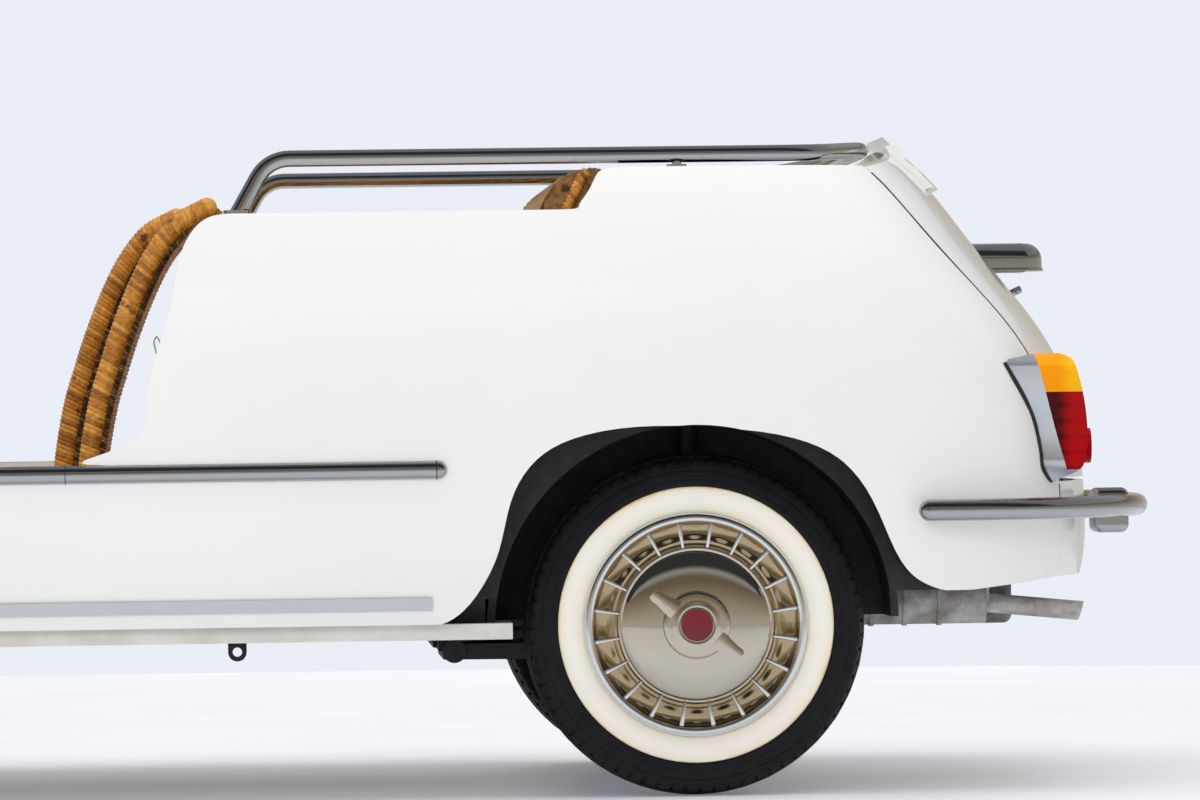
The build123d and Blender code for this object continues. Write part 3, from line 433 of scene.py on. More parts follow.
SLOT_FINISH = {
    "body_paint": ENAMEL, "floor_paint": FLOOR_ENAMEL, "chrome": CHROME, "aluminium": ALUMINIUM,
    "glass": GLASS, "lens_clear": LENS_CLEAR, "lens_amber": LENS_AMBER, "lens_red": LENS_RED,
    "lamp_metal": LAMP_METAL, "wicker": CANE, "tyre": TREAD, "wheel_cap": CAP_CHROME,
    "steering_plastic": IVORY_PLASTIC, "chassis_black": UNDERSEAL, "engine_metal": ENGINE_ALLOY,
    "exhaust": SILENCER_STEEL,
}
NODE_FINISH = {"inner_wheel_arches": UNDERSEAL}
# Wheel arch in the panels: distance from the axle towards the sill, and height.
ARCH_EDGE = smooth_path([(a * MM, 0, b * MM) for a, b in [
    (420, 262), (362, 274), (322, 318), (296, 372), (274, 455), (232, 514), (160, 546), (64, 557), (-48, 552),
    (-144, 537), (-216, 504), (-258, 455), (-290, 386), (-326, 328), (-368, 306), (-420, 304)]], 120)
ARCH = [Vector((0.42, 0, 0.24))] + ARCH_EDGE + [Vector((-0.42, 0, 0.24))]
# How much larger than its edge an arch is taken, so that the edge's own thickness counts as inside.
ARCH_SWELL = 1.03
# Least distance of the sealed flange below the panel's skin.
FLANGE_DEPTH = 0.005
# Faces of the floor below this height are its ribs and sills.
FLOOR_RIB_Z = 0.238


def in_arch(x, z):
    """The hub of the wheel arch that a point lies inside, seen from the side, or None."""
    for end, way in (("rear", 1), ("front", -1)):
        ring = [(AXLE_X[end] + way * p.x * ARCH_SWELL, HUB_Z + (p.z - HUB_Z) * ARCH_SWELL) for p in ARCH]
        inside = False
        for (x0, z0), (x1, z1) in zip(ring, ring[1:] + ring[:1]):
            if (z0 > z) != (z1 > z) and x < x0 + (z - z0) / (z1 - z0) * (x1 - x0):
                inside = not inside
        if inside:
            return Vector((AXLE_X[end], 0, HUB_Z))
    return None


def sealed(face, side, shell):
    """Whether a face of a body panel is the cut of its wheel arch or the sunk flange inside the arch."""
    x, y, z = face.center
    hub = in_arch(x, z)
    if not hub:
        return False
    reach = Vector((x, 0, z)) - hub
    if abs(face.normal.y) < 0.35:
        return face.normal.dot(reach) < -0.5 * reach.length
    if face.normal.y * side <= 0.5:
        return False
    outside = next((k for k in (1.06, 1.12, 1.2, 1.3, 1.45)
                    if not in_arch(hub.x + reach.x * k, hub.z + reach.z * k)), 1.6)
    near = drop(shell, hub + reach * outside + Vector((0, side * 0.9, 0)), (0, -side, 0))
    return bool(near) and abs(y) < abs(near.y) - FLANGE_DEPTH


def dress_frame():
    """Gives every CAD node the finish of its material slot; arches and undersides are sealed black."""
    for name, node in NODES.items():
        mesh = node.data
        given = NODE_FINISH.get(name) or SLOT_FINISH[mesh.materials[0].name]
        mesh.materials.clear()
        mesh.materials.append(given)
        if name.startswith(("body_side", "front_fender")):
            mesh.materials.append(UNDERSEAL)
            shell = skin(name)
            side = 1 if name.endswith("left") else -1
            for face in mesh.polygons:
                if sealed(face, side, shell):
                    face.material_index = 1
        if name == "floor_pan":
            mesh.materials.append(UNDERSEAL)
            for face in mesh.polygons:
                if face.normal.z < -0.5 or face.center.z < FLOOR_RIB_Z:
                    face.material_index = 1


# ---------------------------------------------------------------- camera, stage and light
FLOOR_RADIUS = 5.4
CEILING_RADIUS, CEILING_Z = 19.0, 6.5
# Share of plain brightness that the camera sees on top of the lit floor.
FLOOR_GLOW = 0.2
# Lamps: name, place, width and depth, watts.
LAMPS = [("top_softbox", (0, 0.5, 4.6), (7, 4), 115), ("left_softbox", (1.5, 7.5, 3.6), (4, 2.5), 125),
         ("right_softbox", (-1.5, -7.5, 3.6), (4, 2.5), 110)]


def camera():
    """A long lens square to the car's left side, a little behind its middle."""
    data = bpy.data.cameras.new("camera")
    data.sensor_width, data.lens = 36.0, 235.82
    data.clip_end = 200.0
    obj = bpy.data.objects.new("camera", data)
    scene.collection.objects.link(obj)
    pan, tilt, roll = math.radians(177.325), math.radians(90.081), math.radians(-0.795)
    turn = Matrix.Rotation(pan, 4, "Z") @ Matrix.Rotation(tilt, 4, "X") @ Matrix.Rotation(roll, 4, "Z")
    obj.matrix_world = Matrix.Translation((-0.2252, 12.4166, 0.5803)) @ turn
    scene.camera = obj


def stage_disc(name, radius, made, z=0.0):
    """A round level plane of the studio."""
    bm = bmesh.new()
    bmesh.ops.create_circle(bm, cap_ends=True, segments=128, radius=radius)
    mesh = bpy.data.meshes.new(name)
    bm.to_mesh(mesh)
    bm.free()
    mesh.materials.append(made)
    disc = bpy.data.objects.new(name, mesh)
    disc.location.z = z
    scene.collection.objects.link(disc)
    return disc


def studio():
    """Pale floor and air, a dark-banded ceiling that only gloss reflects, and three soft lamps."""
    world = bpy.data.worlds.new("studio_air")
    scene.world = world
    world.use_nodes = True
    tree = world.node_tree
    tree.nodes.clear()
    rays = add(tree, "LightPath")
    shown = add(tree, "Background", {"Color": "#EAEEF6", "Strength": 1.0})
    rise = add(tree, "SeparateXYZ", {"Vector": add(tree, "TexCoord").outputs["Generated"]}).outputs["Z"]
    far_wall = add(tree, "ValToRGB", {"Fac": rise},
                   stops=[(0.0, "#C4C1BA"), (1.0, "#5F5C58"), (0.06, "#B9B1A3"), (0.2, "#9C907D"),
                          (0.33, "#7A7061")])
    mirrored = add(tree, "Background", {"Color": far_wall.outputs["Color"], "Strength": 1.0})
    lit = add(tree, "Background", {"Color": "#F3F5FA", "Strength": 0.8})
    seen = add(tree, "Math", {0: rays.outputs["Is Camera Ray"], 1: rays.outputs["Is Transmission Ray"]},
               operation="MAXIMUM")
    far = add(tree, "MixShader",
              {0: rays.outputs["Is Glossy Ray"], 1: lit.outputs[0], 2: mirrored.outputs[0]})
    air = add(tree, "MixShader", {0: seen.outputs[0], 1: far.outputs[0], 2: shown.outputs[0]})
    add(tree, "OutputWorld", {"Surface": air.outputs[0]})

    made, tree, shader, place = finish("pale_studio_floor", Roughness=0.4, Coat_Weight=0.15,
                                       Coat_Roughness=0.12, Emission_Color="#E4E9F4")
    rays = add(tree, "LightPath")
    seen = add(tree, "Math", {0: rays.outputs["Is Camera Ray"], 1: FLOOR_GLOW}, operation="MULTIPLY")
    link(tree, shader, Emission_Strength=seen.outputs[0])
    scuff = add(tree, "TexNoise", {"Vector": place, "Scale": 3.0, "Detail": 7.0})
    tone = add(tree, "ValToRGB", {"Fac": scuff.outputs["Fac"]}, stops=[(0.3, "#EDEFF4"), (0.7, "#F5F6F9")])
    link(tree, shader, Base_Color=tone.outputs["Color"])
    stage_disc("studio_floor", FLOOR_RADIUS, made)

    made = bpy.data.materials.new("dark_studio_ceiling")
    made.use_nodes = True
    tree = made.node_tree
    tree.nodes.clear()
    place = add(tree, "TexCoord").outputs["Object"]
    across = add(tree, "SeparateXYZ", {"Vector": place}).outputs["Y"]
    share = add(tree, "MapRange", {"Value": across, 1: -12.0, 2: 14.0})
    tone = add(tree, "ValToRGB", {"Fac": share.outputs[0]},
               stops=[(0.0, "#A4A7AA"), (1.0, "#7A7061"), (0.50, "#8E9193"), (0.56, "#3C3D3F"),
                      (0.80, "#3C3D3F"), (0.88, "#A9ABAE")])
    glow = add(tree, "Emission", {"Color": tone.outputs["Color"]})
    add(tree, "OutputMaterial", {"Surface": glow.outputs[0]})
    ceiling = stage_disc("studio_ceiling", CEILING_RADIUS, made, CEILING_Z)
    ceiling.visible_camera = False
    ceiling.visible_diffuse = False
    ceiling.visible_transmission = False
    ceiling.visible_shadow = False

    for name, at, (wide, high), power in LAMPS:
        data = bpy.data.lights.new(name, "AREA")
        data.shape, data.size, data.size_y, data.energy = "RECTANGLE", wide, high, power
        obj = bpy.data.objects.new(name, data)
        obj.location = at
        obj.rotation_mode = "QUATERNION"
        obj.rotation_quaternion = (Vector((0, 0, 0.6)) - Vector(at)).to_track_quat("-Z", "Y")
        obj.visible_glossy = False
        scene.collection.objects.link(obj)


# ---------------------------------------------------------------- wheels
WHEELS = [(end, side, x, way) for end, x in AXLE_X.items() for side, way in (("left", 1), ("right", -1))]
TREAD_STEPS = 144
# Tread in millimetres: radius at its middle, how far it drops 50 mm to a side, and depth of its grooves.
TREAD_R, TREAD_CROWN, TREAD_DEPTH = 257.7, 9, 6.4
# Vertices beyond this radius and within this distance of the middle zigzag by so much.
ZIGZAG_R, ZIGZAG_HALF, ZIGZAG = 0.2435, 0.042, 1.5 * MM
# Cuts in the shoulders: least radius, least distance from the middle, and depth.
CUT_R, CUT_Y, CUT_DEPTH = 0.2405, 0.0392, 2.6 * MM
# White band: inner and outer radius, the two rings that its stain spreads from, and how far it spreads.
WHITE_IN, WHITE_OUT = 0.163, 0.2068
STAIN_RINGS, STAIN_REACH = (0.206, 0.170), 0.006
# Cooling fins of a brake drum, and fins of a hub cap.
DRUM_FINS, FIN_COUNT = 24, 20
# Recess of a hub cap in millimetres: middle radius, half width, and depth between two fins.
POCKET_R, POCKET_HALF, POCKET_DEPTH = 141, 14, 4.6
# Ear of a hub cap in millimetres: start and length, out from the middle.
EAR_START, EAR_LONG = 38, 44
# Places of the finishes in a hub cap.
DOME, POCKET, DISC, FIN = 0, 1, 2, 3


def wheel_place(x, way):
    """A wheel's own axes: Z along the axle, outwards."""
    return Matrix(((1, 0, 0, x), (0, 0, way, way * WHEEL_Y), (0, -way, 0, HUB_Z), (0, 0, 0, 1)))


def tread_radius(y):
    """Radius of the tread y millimetres from its middle, in millimetres."""
    return TREAD_R - TREAD_CROWN * (y / 50) ** 2


def tyre_mesh():
    """Crossply tyre: zigzag tread ribs, cut shoulder blocks and a whitewall between two fine ridges."""
    wall = [(150, 46), (150, 49), (156, 55.4), (164, 60), (168, 61.4), (174, 62.7), (184, 64.2), (194, 65.1),
            (203, 65.5), (206.4, 65.6), (207.2, 64.6), (208.4, 64.6), (209.2, 65.7), (213, 65.8), (218, 65.2),
            (219, 64.5), (220, 64.9), (226, 63.8), (232, 62.0), (233, 61.1), (234.2, 61.6), (239, 59.8),
            (243, 58.0)]
    tread = [(246.4, 55.4), (248.4, 51.6)]
    for outer, inner in ((49.4, 39.2), (34.2, 20.0)):
        tread += [(tread_radius(y), y) for y in (outer, (outer + inner) / 2, inner)]
        tread += [(tread_radius(y) - TREAD_DEPTH, y) for y in (inner - 1.0, inner - 4.0)]
    tread += [(tread_radius(y), y) for y in (15.0, 7.5)]
    half = wall + tread
    profile = half + [(TREAD_R, 0.0)] + [(r, -h) for r, h in reversed(half)]
    bm = turned(in_mm(profile), TREAD_STEPS, closed=True)
    edge = bm.verts.layers.float.new("edge")
    step = math.tau / TREAD_STEPS
    for v in bm.verts:
        r, a = math.hypot(v.co.x, v.co.y), math.atan2(v.co.y, v.co.x)
        k = round(a / step) % TREAD_STEPS
        # Each second step moves back by nearly half, so that cuts are narrow and blocks are wide.
        if k % 2:
            a -= 0.48 * step
        if r > ZIGZAG_R and abs(v.co.z) < ZIGZAG_HALF:
            v.co.z += ZIGZAG if (k // 2) % 2 else -ZIGZAG
        v.co.x, v.co.y = r * math.cos(a), r * math.sin(a)
        v[edge] = max(0.0, 1.0 - min(abs(r - ring) for ring in STAIN_RINGS) / STAIN_REACH)
    cuts = []
    for f in bm.faces:
        c = f.calc_center_median()
        r, a = math.hypot(c.x, c.y), math.atan2(c.y, c.x) % math.tau
        f.material_index = 1 if WHITE_IN < r < WHITE_OUT and c.z > 0 else 0
        if int(a / step + 0.26) % 2 == 0 and abs(c.z) > CUT_Y and r > CUT_R:
            cuts.append(f)
    out = bmesh.ops.extrude_face_region(bm, geom=cuts)["geom"]
    bmesh.ops.delete(bm, geom=cuts, context="FACES")
    for v in points_of(out):
        v.co *= 1.0 - CUT_DEPTH / v.co.length
    bmesh.ops.recalc_face_normals(bm, faces=bm.faces)
    return bm


def rim_mesh():
    """Pressed steel wheel and its brake drum, seen from behind."""
    profile = [(22, -19), (98, -19), (101, -16), (101, 13), (118, 20), (132, 16), (137, 4), (140, -40),
               (140, -56), (146, -60), (153, -62), (156, -59), (152, -55), (149, -50), (149, 46), (152, 51),
               (155, 54), (152, 57), (146, 55), (142, 46), (140, 28), (120, 32), (60, 26), (22, 26)]
    bm = turned(in_mm(profile), 96, closed=True)
    for i in range(DRUM_FINS):
        place = Matrix.Rotation(i * math.tau / DRUM_FINS, 4, "Z") @ Matrix.Translation((0.1025, 0, -0.003))
        join(bm, slab((4 * MM, 10 * MM, 26 * MM)), place)
    return bm


def cap_mesh():
    """Finned hub cap: rolled rim, a recess with fins in chrome tinted warm as painted reflection, a polished
    dome and a two-eared centre.
    """
    bm = bmesh.new()
    rim = [(154.5, 60), (159, 59.5), (168, 60.5), (168.6, 63), (167.4, 67.5), (164, 71), (160, 72.2),
           (156.5, 71), (154.2, 67.5), (153.5, 63)]
    join(bm, turned(in_mm(rim), 160, closed=True), finish_index=FIN)
    recess = [(155, 66), (153.6, 62), (151, 58.6), (147, 56.0), (142, 55.0), (137, 55.6), (133, 57.2),
              (129, 60.2), (126.4, 61.6), (124, 60.4), (121.4, 60.6), (118.8, 62.6), (116.6, 65.4)]
    pockets = turned(in_mm(recess), 240)
    for v in pockets.verts:
        r, a = math.hypot(v.co.x, v.co.y) / MM, math.atan2(v.co.y, v.co.x)
        bowl = max(0.0, 1 - ((r - POCKET_R) / POCKET_HALF) ** 2)
        v.co.z += (POCKET_DEPTH * (1 - abs(math.cos(FIN_COUNT / 2 * a)) ** 0.8) - 1.2) * bowl * MM
    join(bm, pockets, finish_index=POCKET)
    dome = [(117.5, 64.6), (116.4, 66.2), (113.8, 66.8), (112.2, 66.0), (111.2, 65.6), (110, 66.4),
            (108.2, 68.2), (104, 70.8), (97, 74.0), (88, 77.4), (78, 80.3), (68, 82.5), (58, 84.2),
            (50, 85.2)]
    join(bm, turned(in_mm(dome), 160), finish_index=DOME)
    hub = [(51, 84.6), (50.4, 87.2), (47.6, 89.4), (43, 90.4), (38, 90.7), (34, 91.2), (31, 92.4), (28, 92.8),
           (26.6, 92.2), (26, 91.4)]
    join(bm, turned(in_mm(hub), 96), finish_index=DOME)
    bezel = [(26, 91.0), (25.4, 92.6), (24.2, 93.4), (23.4, 92.4)]
    join(bm, turned(in_mm(bezel), 72), finish_index=DOME)
    join(bm, turned(in_mm([(23.8, 92.2), (12, 92.9), (0, 93.2)]), 72), finish_index=DISC)
    for i in range(FIN_COUNT):
        fin = slab((37 * MM, 5.2 * MM, 16.0 * MM), 1.6 * MM, 3)
        for v in fin.verts:
            v.co.y *= 1.15 + 0.3 * v.co.x / (18.5 * MM)
        place = Matrix.Rotation((i + 0.5) * math.tau / FIN_COUNT, 4, "Z") \
            @ Matrix.Translation((135.5 * MM, 0, 60.9 * MM)) @ Matrix.Rotation(math.radians(-2.0), 4, "Y")
        join(bm, fin, place, FIN)
    for turn in (-36, 144):
        ear = bmesh.new()
        bmesh.ops.create_grid(ear, x_segments=10, y_segments=6, size=0.5)
        for v in ear.verts:
            t, s = v.co.x + 0.5, v.co.y * 2
            width = (15.5 - 8.5 * t + 4.5 * max(0.0, t - 0.72) * 3 - 34 * max(0.0, t - 0.88)) * MM
            height = (90.2 - 1.0 * t + 2.2 * (1 - s * s) * (1 - 0.4 * t)) * MM
            v.co = Vector(((EAR_START + EAR_LONG * t) * MM, s * width, height))
        bmesh.ops.solidify(ear, geom=ear.faces[:], thickness=5.0 * MM)
        bmesh.ops.recalc_face_normals(ear, faces=ear.faces)
        join(bm, ear, Matrix.Rotation(math.radians(turn), 4, "Z"), DOME)
    return bm


def wheels():
    """Four wheels, each a tyre, a pressed wheel and a hub cap."""
    makers = [("whitewall_tyre", tyre_mesh, [TREAD, WHITEWALL], "tyre", ["tyre"], 30),
              ("rim", rim_mesh, [WHEEL_PAINT], "wheel_cap", ["wheel"], 35),
              ("hub_cap", cap_mesh, [CAP_CHROME, WARM_TINTED_POCKET_CHROME, RED_ENAMEL, FIN_CHROME], "wheel_cap", [], 50)]
    for word, maker, finishes, slot, nodes, crease in makers:
        master = maker()
        for end, side, x, way in WHEELS:
            bm = master.copy()
            bm.transform(wheel_place(x, way))
            stands_for = [f"{end}_{side}_{node}" for node in nodes]
            piece(f"{end}_{side}_{word}", bm, finishes, f"{end}_{side}_spin", slot, stands_for, crease)
        master.free()


# ---------------------------------------------------------------- wicker
def bent_grid(columns, rows, form, tone):
    """A grid bent into a closed form; form gives a place, and tone a strip's tone, from two shares."""
    bm = bmesh.new()
    strip = bm.faces.layers.float.new("strip")
    bmesh.ops.create_grid(bm, x_segments=columns, y_segments=rows, size=0.5)
    for f in bm.faces:
        c = f.calc_center_median()
        f[strip] = tone(c.x + 0.5, c.y + 0.5)
    for v in bm.verts:
        v.co = form(v.co.x + 0.5, v.co.y + 0.5)
    bmesh.ops.remove_doubles(bm, verts=bm.verts, dist=1e-6)
    bmesh.ops.dissolve_degenerate(bm, edges=bm.edges, dist=1e-7)
    bmesh.ops.holes_fill(bm, edges=[e for e in bm.edges if e.is_boundary])
    bmesh.ops.recalc_face_normals(bm, faces=bm.faces)
    return bm


def bound_roll(points, radius, side, pitch=6.5 * MM, groove=1.3 * MM, sides=16, round_ends=False):
    """A round core wound with split cane, along points that lie in the plane square to side."""
    path = [Vector(p) for p in points]
    length = sum((b - a).length for a, b in zip(path, path[1:]))
    wraps = round(length / pitch)
    steps = 3 * wraps
    path = smooth_path(path, steps + 1)
    ways = [(path[min(k + 1, steps)] - path[max(k - 1, 0)]).normalized() for k in range(steps + 1)]
    side = Vector(side)
    tones = [random.uniform(0.1, 1.0) for _ in range(wraps)]

    def form(u, v):
        k, turn = round(u * steps), math.tau * v
        r = radius - (groove if k % 3 == 0 else 0.0)
        near = min(k, steps - k) / steps * length
        if round_ends and near < radius:
            r *= math.sqrt(max(0.0, 1 - (1 - near / radius) ** 2))
        slant = 0.5 * pitch * math.sin(turn) * min(1.0, near / radius)
        up = side.cross(ways[k])
        return path[k] + r * (math.cos(turn) * side + math.sin(turn) * up) + slant * ways[k]

    return bent_grid(steps, sides, form, lambda u, v: tones[min(int(u * wraps), wraps - 1)])


def woven(outline, reach, weaver, stake, lift=1.3 * MM):
    """A closed woven body: an outline in X and Z carried from side to side; reach gives the half width."""
    points = [Vector((x, 0.0, z)) for x, z in outline + outline[:1]]
    length = sum((b - a).length for a, b in zip(points, points[1:]))
    weavers = 2 * round(length / weaver / 2)
    rows = 2 * weavers
    path = smooth_path(points, rows + 1)[:-1]
    middle = sum(path, Vector()) / rows
    across = [(path[(k + 1) % rows] - path[k - 1]).normalized().cross(Vector((0, 1, 0))) for k in range(rows)]
    way = 1 if sum(n.dot(q - middle) for n, q in zip(across, path)) > 0 else -1
    halves = [reach(q) for q in path]
    stakes = 2 * round(max(halves) / stake)
    tones = [random.uniform(0.2, 1.0) for _ in range(weavers)]

    def form(u, v):
        c, k = round(u * 2 * stakes), round(v * rows)
        height = -0.6 * lift if k % 2 == 0 else 0.2 * lift
        if k % 2 and c % 2:
            height = lift if (k // 2 + c // 2) % 2 else -0.4 * lift
        k %= rows
        return path[k] + way * height * across[k] + Vector((0, (2 * u - 1) * halves[k], 0))

    def tone(u, v):
        i, j = int(v * weavers), int(u * stakes)
        # Painted shade: cells where the weaver sinks under a stake are dimmed to 0.55 of their tone.
        return tones[min(i, weavers - 1)] * (1.0 if (i + j) % 2 else 0.55)

    return bent_grid(2 * stakes, rows, form, tone)


def rounded(x0, x1, z0, z1, r):
    """Outline of a rounded rectangle in X and Z."""
    corners = [(x1 - r, z1 - r, 0), (x0 + r, z1 - r, 90), (x0 + r, z0 + r, 180), (x1 - r, z0 + r, 270)]
    return [(x + r * math.cos(math.radians(a + t)), z + r * math.sin(math.radians(a + t)))
            for x, z, a in corners for t in (0, 22.5, 45, 67.5, 90)]


# Bound side roll of a front seat's back, in X and Z from the seat's own middle.
SEAT_ROLL = [(0, 420), (-7, 514), (-22, 599), (-38, 653), (-58, 713), (-83, 775), (-111, 829), (-146, 872),
             (-190, 896)]
ROLL_R = 0.0157


def front_seat_mesh():
    """Bucket seat about its own middle: bound side rolls, woven back and pan, bound edges, plain base."""
    roll = in_mm(SEAT_ROLL)
    bm = bmesh.new()
    bm.faces.layers.float.new("strip")
    for y in (-0.219, 0.219):
        side = (0, math.copysign(1, y), 0)
        join(bm, bound_roll([(x, y, z) for x, z in roll], ROLL_R, side), finish_index=0)
        braid = [(x - 0.0150, y * 0.985, z - 0.0055) for x, z in roll[:-1]]
        join(bm, bound_roll(braid, 0.0082, side, 4.2 * MM, 2.0 * MM, 10), finish_index=1)
    x, z = roll[-1]
    crest = [(x, y * MM, z) for y in range(-234, 235, 36)]
    join(bm, bound_roll(crest, ROLL_R, (0, 0, 1), 18 * MM, 0.9 * MM, round_ends=True), finish_index=0)
    back = [(x - 0.0225, z - 0.0075) for x, z in reversed(roll)]
    front = [(x + 0.004, z) for x, z in roll]
    join(bm, woven(front + back, lambda q: 0.208, 6.5 * MM, 13 * MM), finish_index=0)
    pan = rounded(-0.030, 0.416, 0.376, 0.448, 0.028)
    join(bm, woven(pan, lambda q: 0.222, 6.5 * MM, 13 * MM), finish_index=0)
    for y in (-0.2235, 0.2235):
        edge = [(x, y, z) for x, z in pan + pan[:1]]
        join(bm, bound_roll(edge, 0.0112, (0, math.copysign(1, y), 0), sides=10), finish_index=0)
    base = rounded(0.012, 0.390, 0.265, 0.378, 0.012)
    join(bm, woven(base, lambda q: 0.208, 9 * MM, 18 * MM), finish_index=1)
    return bm


BENCH_SKIN = skin("rear_seat")


def seat_half_width(q):
    """Half width of the rear seat where it leans against the body sides."""
    hit = drop(BENCH_SKIN, (q.x, 0.8, q.z), (0, -1, 0))
    return (hit.y if hit else 0.55) - 2 * MM


# Bound edge at each end of the bench's back, in X and Z.
BENCH_ROLL = [(-768, 944), (-760, 937), (-752, 922), (-744, 906), (-732, 880), (-714, 820), (-696, 740),
              (-680, 640), (-662, 540), (-650, 478)]


def rear_seat_mesh():
    """Bench: a woven back whose top rolls over, with bound ends, a woven cushion and a plain base."""
    face = [(-588, 472), (-630, 640), (-672, 810), (-695, 893), (-727, 936), (-778, 952)]
    back = [(-797, 940), (-786, 920), (-744, 868), (-692, 660), (-652, 472)]
    outline = in_mm(face + back)
    middle_x, middle_z = -0.69, 0.70
    bm = bmesh.new()
    bm.faces.layers.float.new("strip")
    spline = [(q.x, q.z) for q in smooth_path([(x, 0, z) for x, z in outline], 80)]
    inner = [(x + (middle_x - x) * 0.02, z + (middle_z - z) * 0.008) for x, z in spline]
    join(bm, woven(inner, lambda q: seat_half_width(q) - 0.014, 8 * MM, 18 * MM), finish_index=2)
    for side in (-1, 1):
        path = []
        for x, z in BENCH_ROLL:
            q = Vector((x * MM, 0, z * MM))
            path.append((q.x, side * (seat_half_width(q) - 0.0105), q.z))
        join(bm, bound_roll(path, 0.0098, (0, side, 0), 6.7 * MM, 1.5 * MM, 12), finish_index=0)
    cushion = rounded(-0.629, -0.243, 0.399, 0.483, 0.028)
    join(bm, woven(cushion, seat_half_width, 8 * MM, 18 * MM), finish_index=0)
    base = rounded(-0.598, -0.272, 0.265, 0.397, 0.012)
    join(bm, woven(base, lambda q: 0.556, 12 * MM, 24 * MM), finish_index=1)
    return bm


def seats():
    """Two bucket seats and the bench behind them, all of cane."""
    master = front_seat_mesh()
    for side, x, y in (("left", 0.0, 0.3), ("right", 0.05, -0.3)):
        bm = master.copy()
        bm.transform(Matrix.Translation((x, y, 0)))
        piece(f"{side}_cane_seat", bm, [CANE, DARK_CANE], "car", "wicker", (f"front_seat_{side}",), 42)
    master.free()
    finishes = [CANE, DARK_CANE, WOVEN_CANE]
    piece("cane_rear_bench", rear_seat_mesh(), finishes, "car", "wicker", ("rear_seat",), 42)


# ---------------------------------------------------------------- trim and small fittings
def ribbon(points, radius, count=40, sides=8):
    """A thin bar along the points that were found, smoothed."""
    return tube(smooth_path([p for p in points if p], count), radius, sides)


def trim(name, bm, made, slot="chassis_black", body="car"):
    """A small fitting with one finish."""
    piece(name, bm, [made], body, slot)


# Edge of the opening between the body sides at the tail: distance from the middle, and height.
TAIL_EDGE = smooth_path([(0, y * MM, z * MM) for y, z in [
    (493, 300), (514, 475), (524, 640), (534, 764), (526, 870), (504, 950)]], 90)
# Heights of the shut line beside the engine lid, and of the seam beside the valance below it.
LID_GAP_Z, VALANCE_Z = (0.478, 0.938), (0.325, 0.462)


def body_seals():
    """Rubber in the lids' shut lines and round the tail lamps, the dark joints of the waist strip, and a
    black line of painted shade in the seam beside the valance.
    """
    side = skin("body_side_left")
    edge = [(-1392, 645), (-1408, 616), (-1424, 588), (-1436, 562), (-1443, 535), (-1448, 509), (-1450, 488),
            (-1458, 473), (-1466, 465)]
    points = [drop(side, ((x + 3) * MM, 0.9, z * MM), (0, -1, 0), 0.001) for x, z in edge]
    trim("tail_lamp_gaskets", both_sides(ribbon(points, 0.0034)), BLACK_RUBBER)

    gap, seam = [], []
    for q in TAIL_EDGE:
        near = drop(side, (-1.8, q.y + 0.0062, q.z), (1, 0, 0))
        far = drop(side, (-1.8, q.y + 0.0092, q.z), (1, 0, 0))
        if near and far and LID_GAP_Z[0] < q.z < LID_GAP_Z[1]:
            gap.append(Vector((near.x + 1.2 * (near.x - far.x) + 0.0022, q.y + 0.0026, q.z)))
        if VALANCE_Z[0] < q.z < VALANCE_Z[1]:
            seam.append(near)
    trim("engine_lid_seal", both_sides(ribbon(gap, 0.0023, 70)), BLACK_RUBBER)
    # A thin black line in the seam beside the valance: painted shade of the seam.
    trim("valance_seam_shade_line", both_sides(ribbon(seam, 0.0011, 30)), BLACK_RUBBER)

    lid = skin("front_lid")
    points = []
    for i in range(30):
        t = i / 29
        hit = drop(lid, (0.76 + 0.715 * t, 0.4225 - 0.130 * t, 1.5), (0, 0, -1), -0.005)
        if hit:
            points.append(hit + Vector((0, 0.0105, 0)))
    trim("front_lid_seal", both_sides(ribbon(points, 0.0026, 60)), BLACK_RUBBER)

    bm = bmesh.new()
    for x, wide in ((0.025, 0.0011), (-0.5285, 0.0016)):
        at = drop(side, (x, 0.9, 0.496), (0, -1, 0))
        join(bm, drum(0.01425, wide, 32), aim(at, (1, 0, 0)))
    trim("waist_strip_joints", both_sides(bm), BLACK_RUBBER)


# Plan of the hood over the number plate: root, middle and radius of its round end, and half width.
HOOD_ROOT_X, HOOD_ARC_X, HOOD_ARC_R, HOOD_HALF = -1.366, -1.4401, 0.0689, 0.0575
# Shells of the hood: its cap, and the thin lip round its foot; low, high, growth, rounding and its steps.
HOOD_SHELLS = [(0.7935, 0.8365, 0.0, 0.026, 10), (0.7925, 0.7975, 0.0018, 0.0016, 3)]
# Slope of the engine lid at its handle.
HANDLE_WAY = (-1, 0, 0.45)


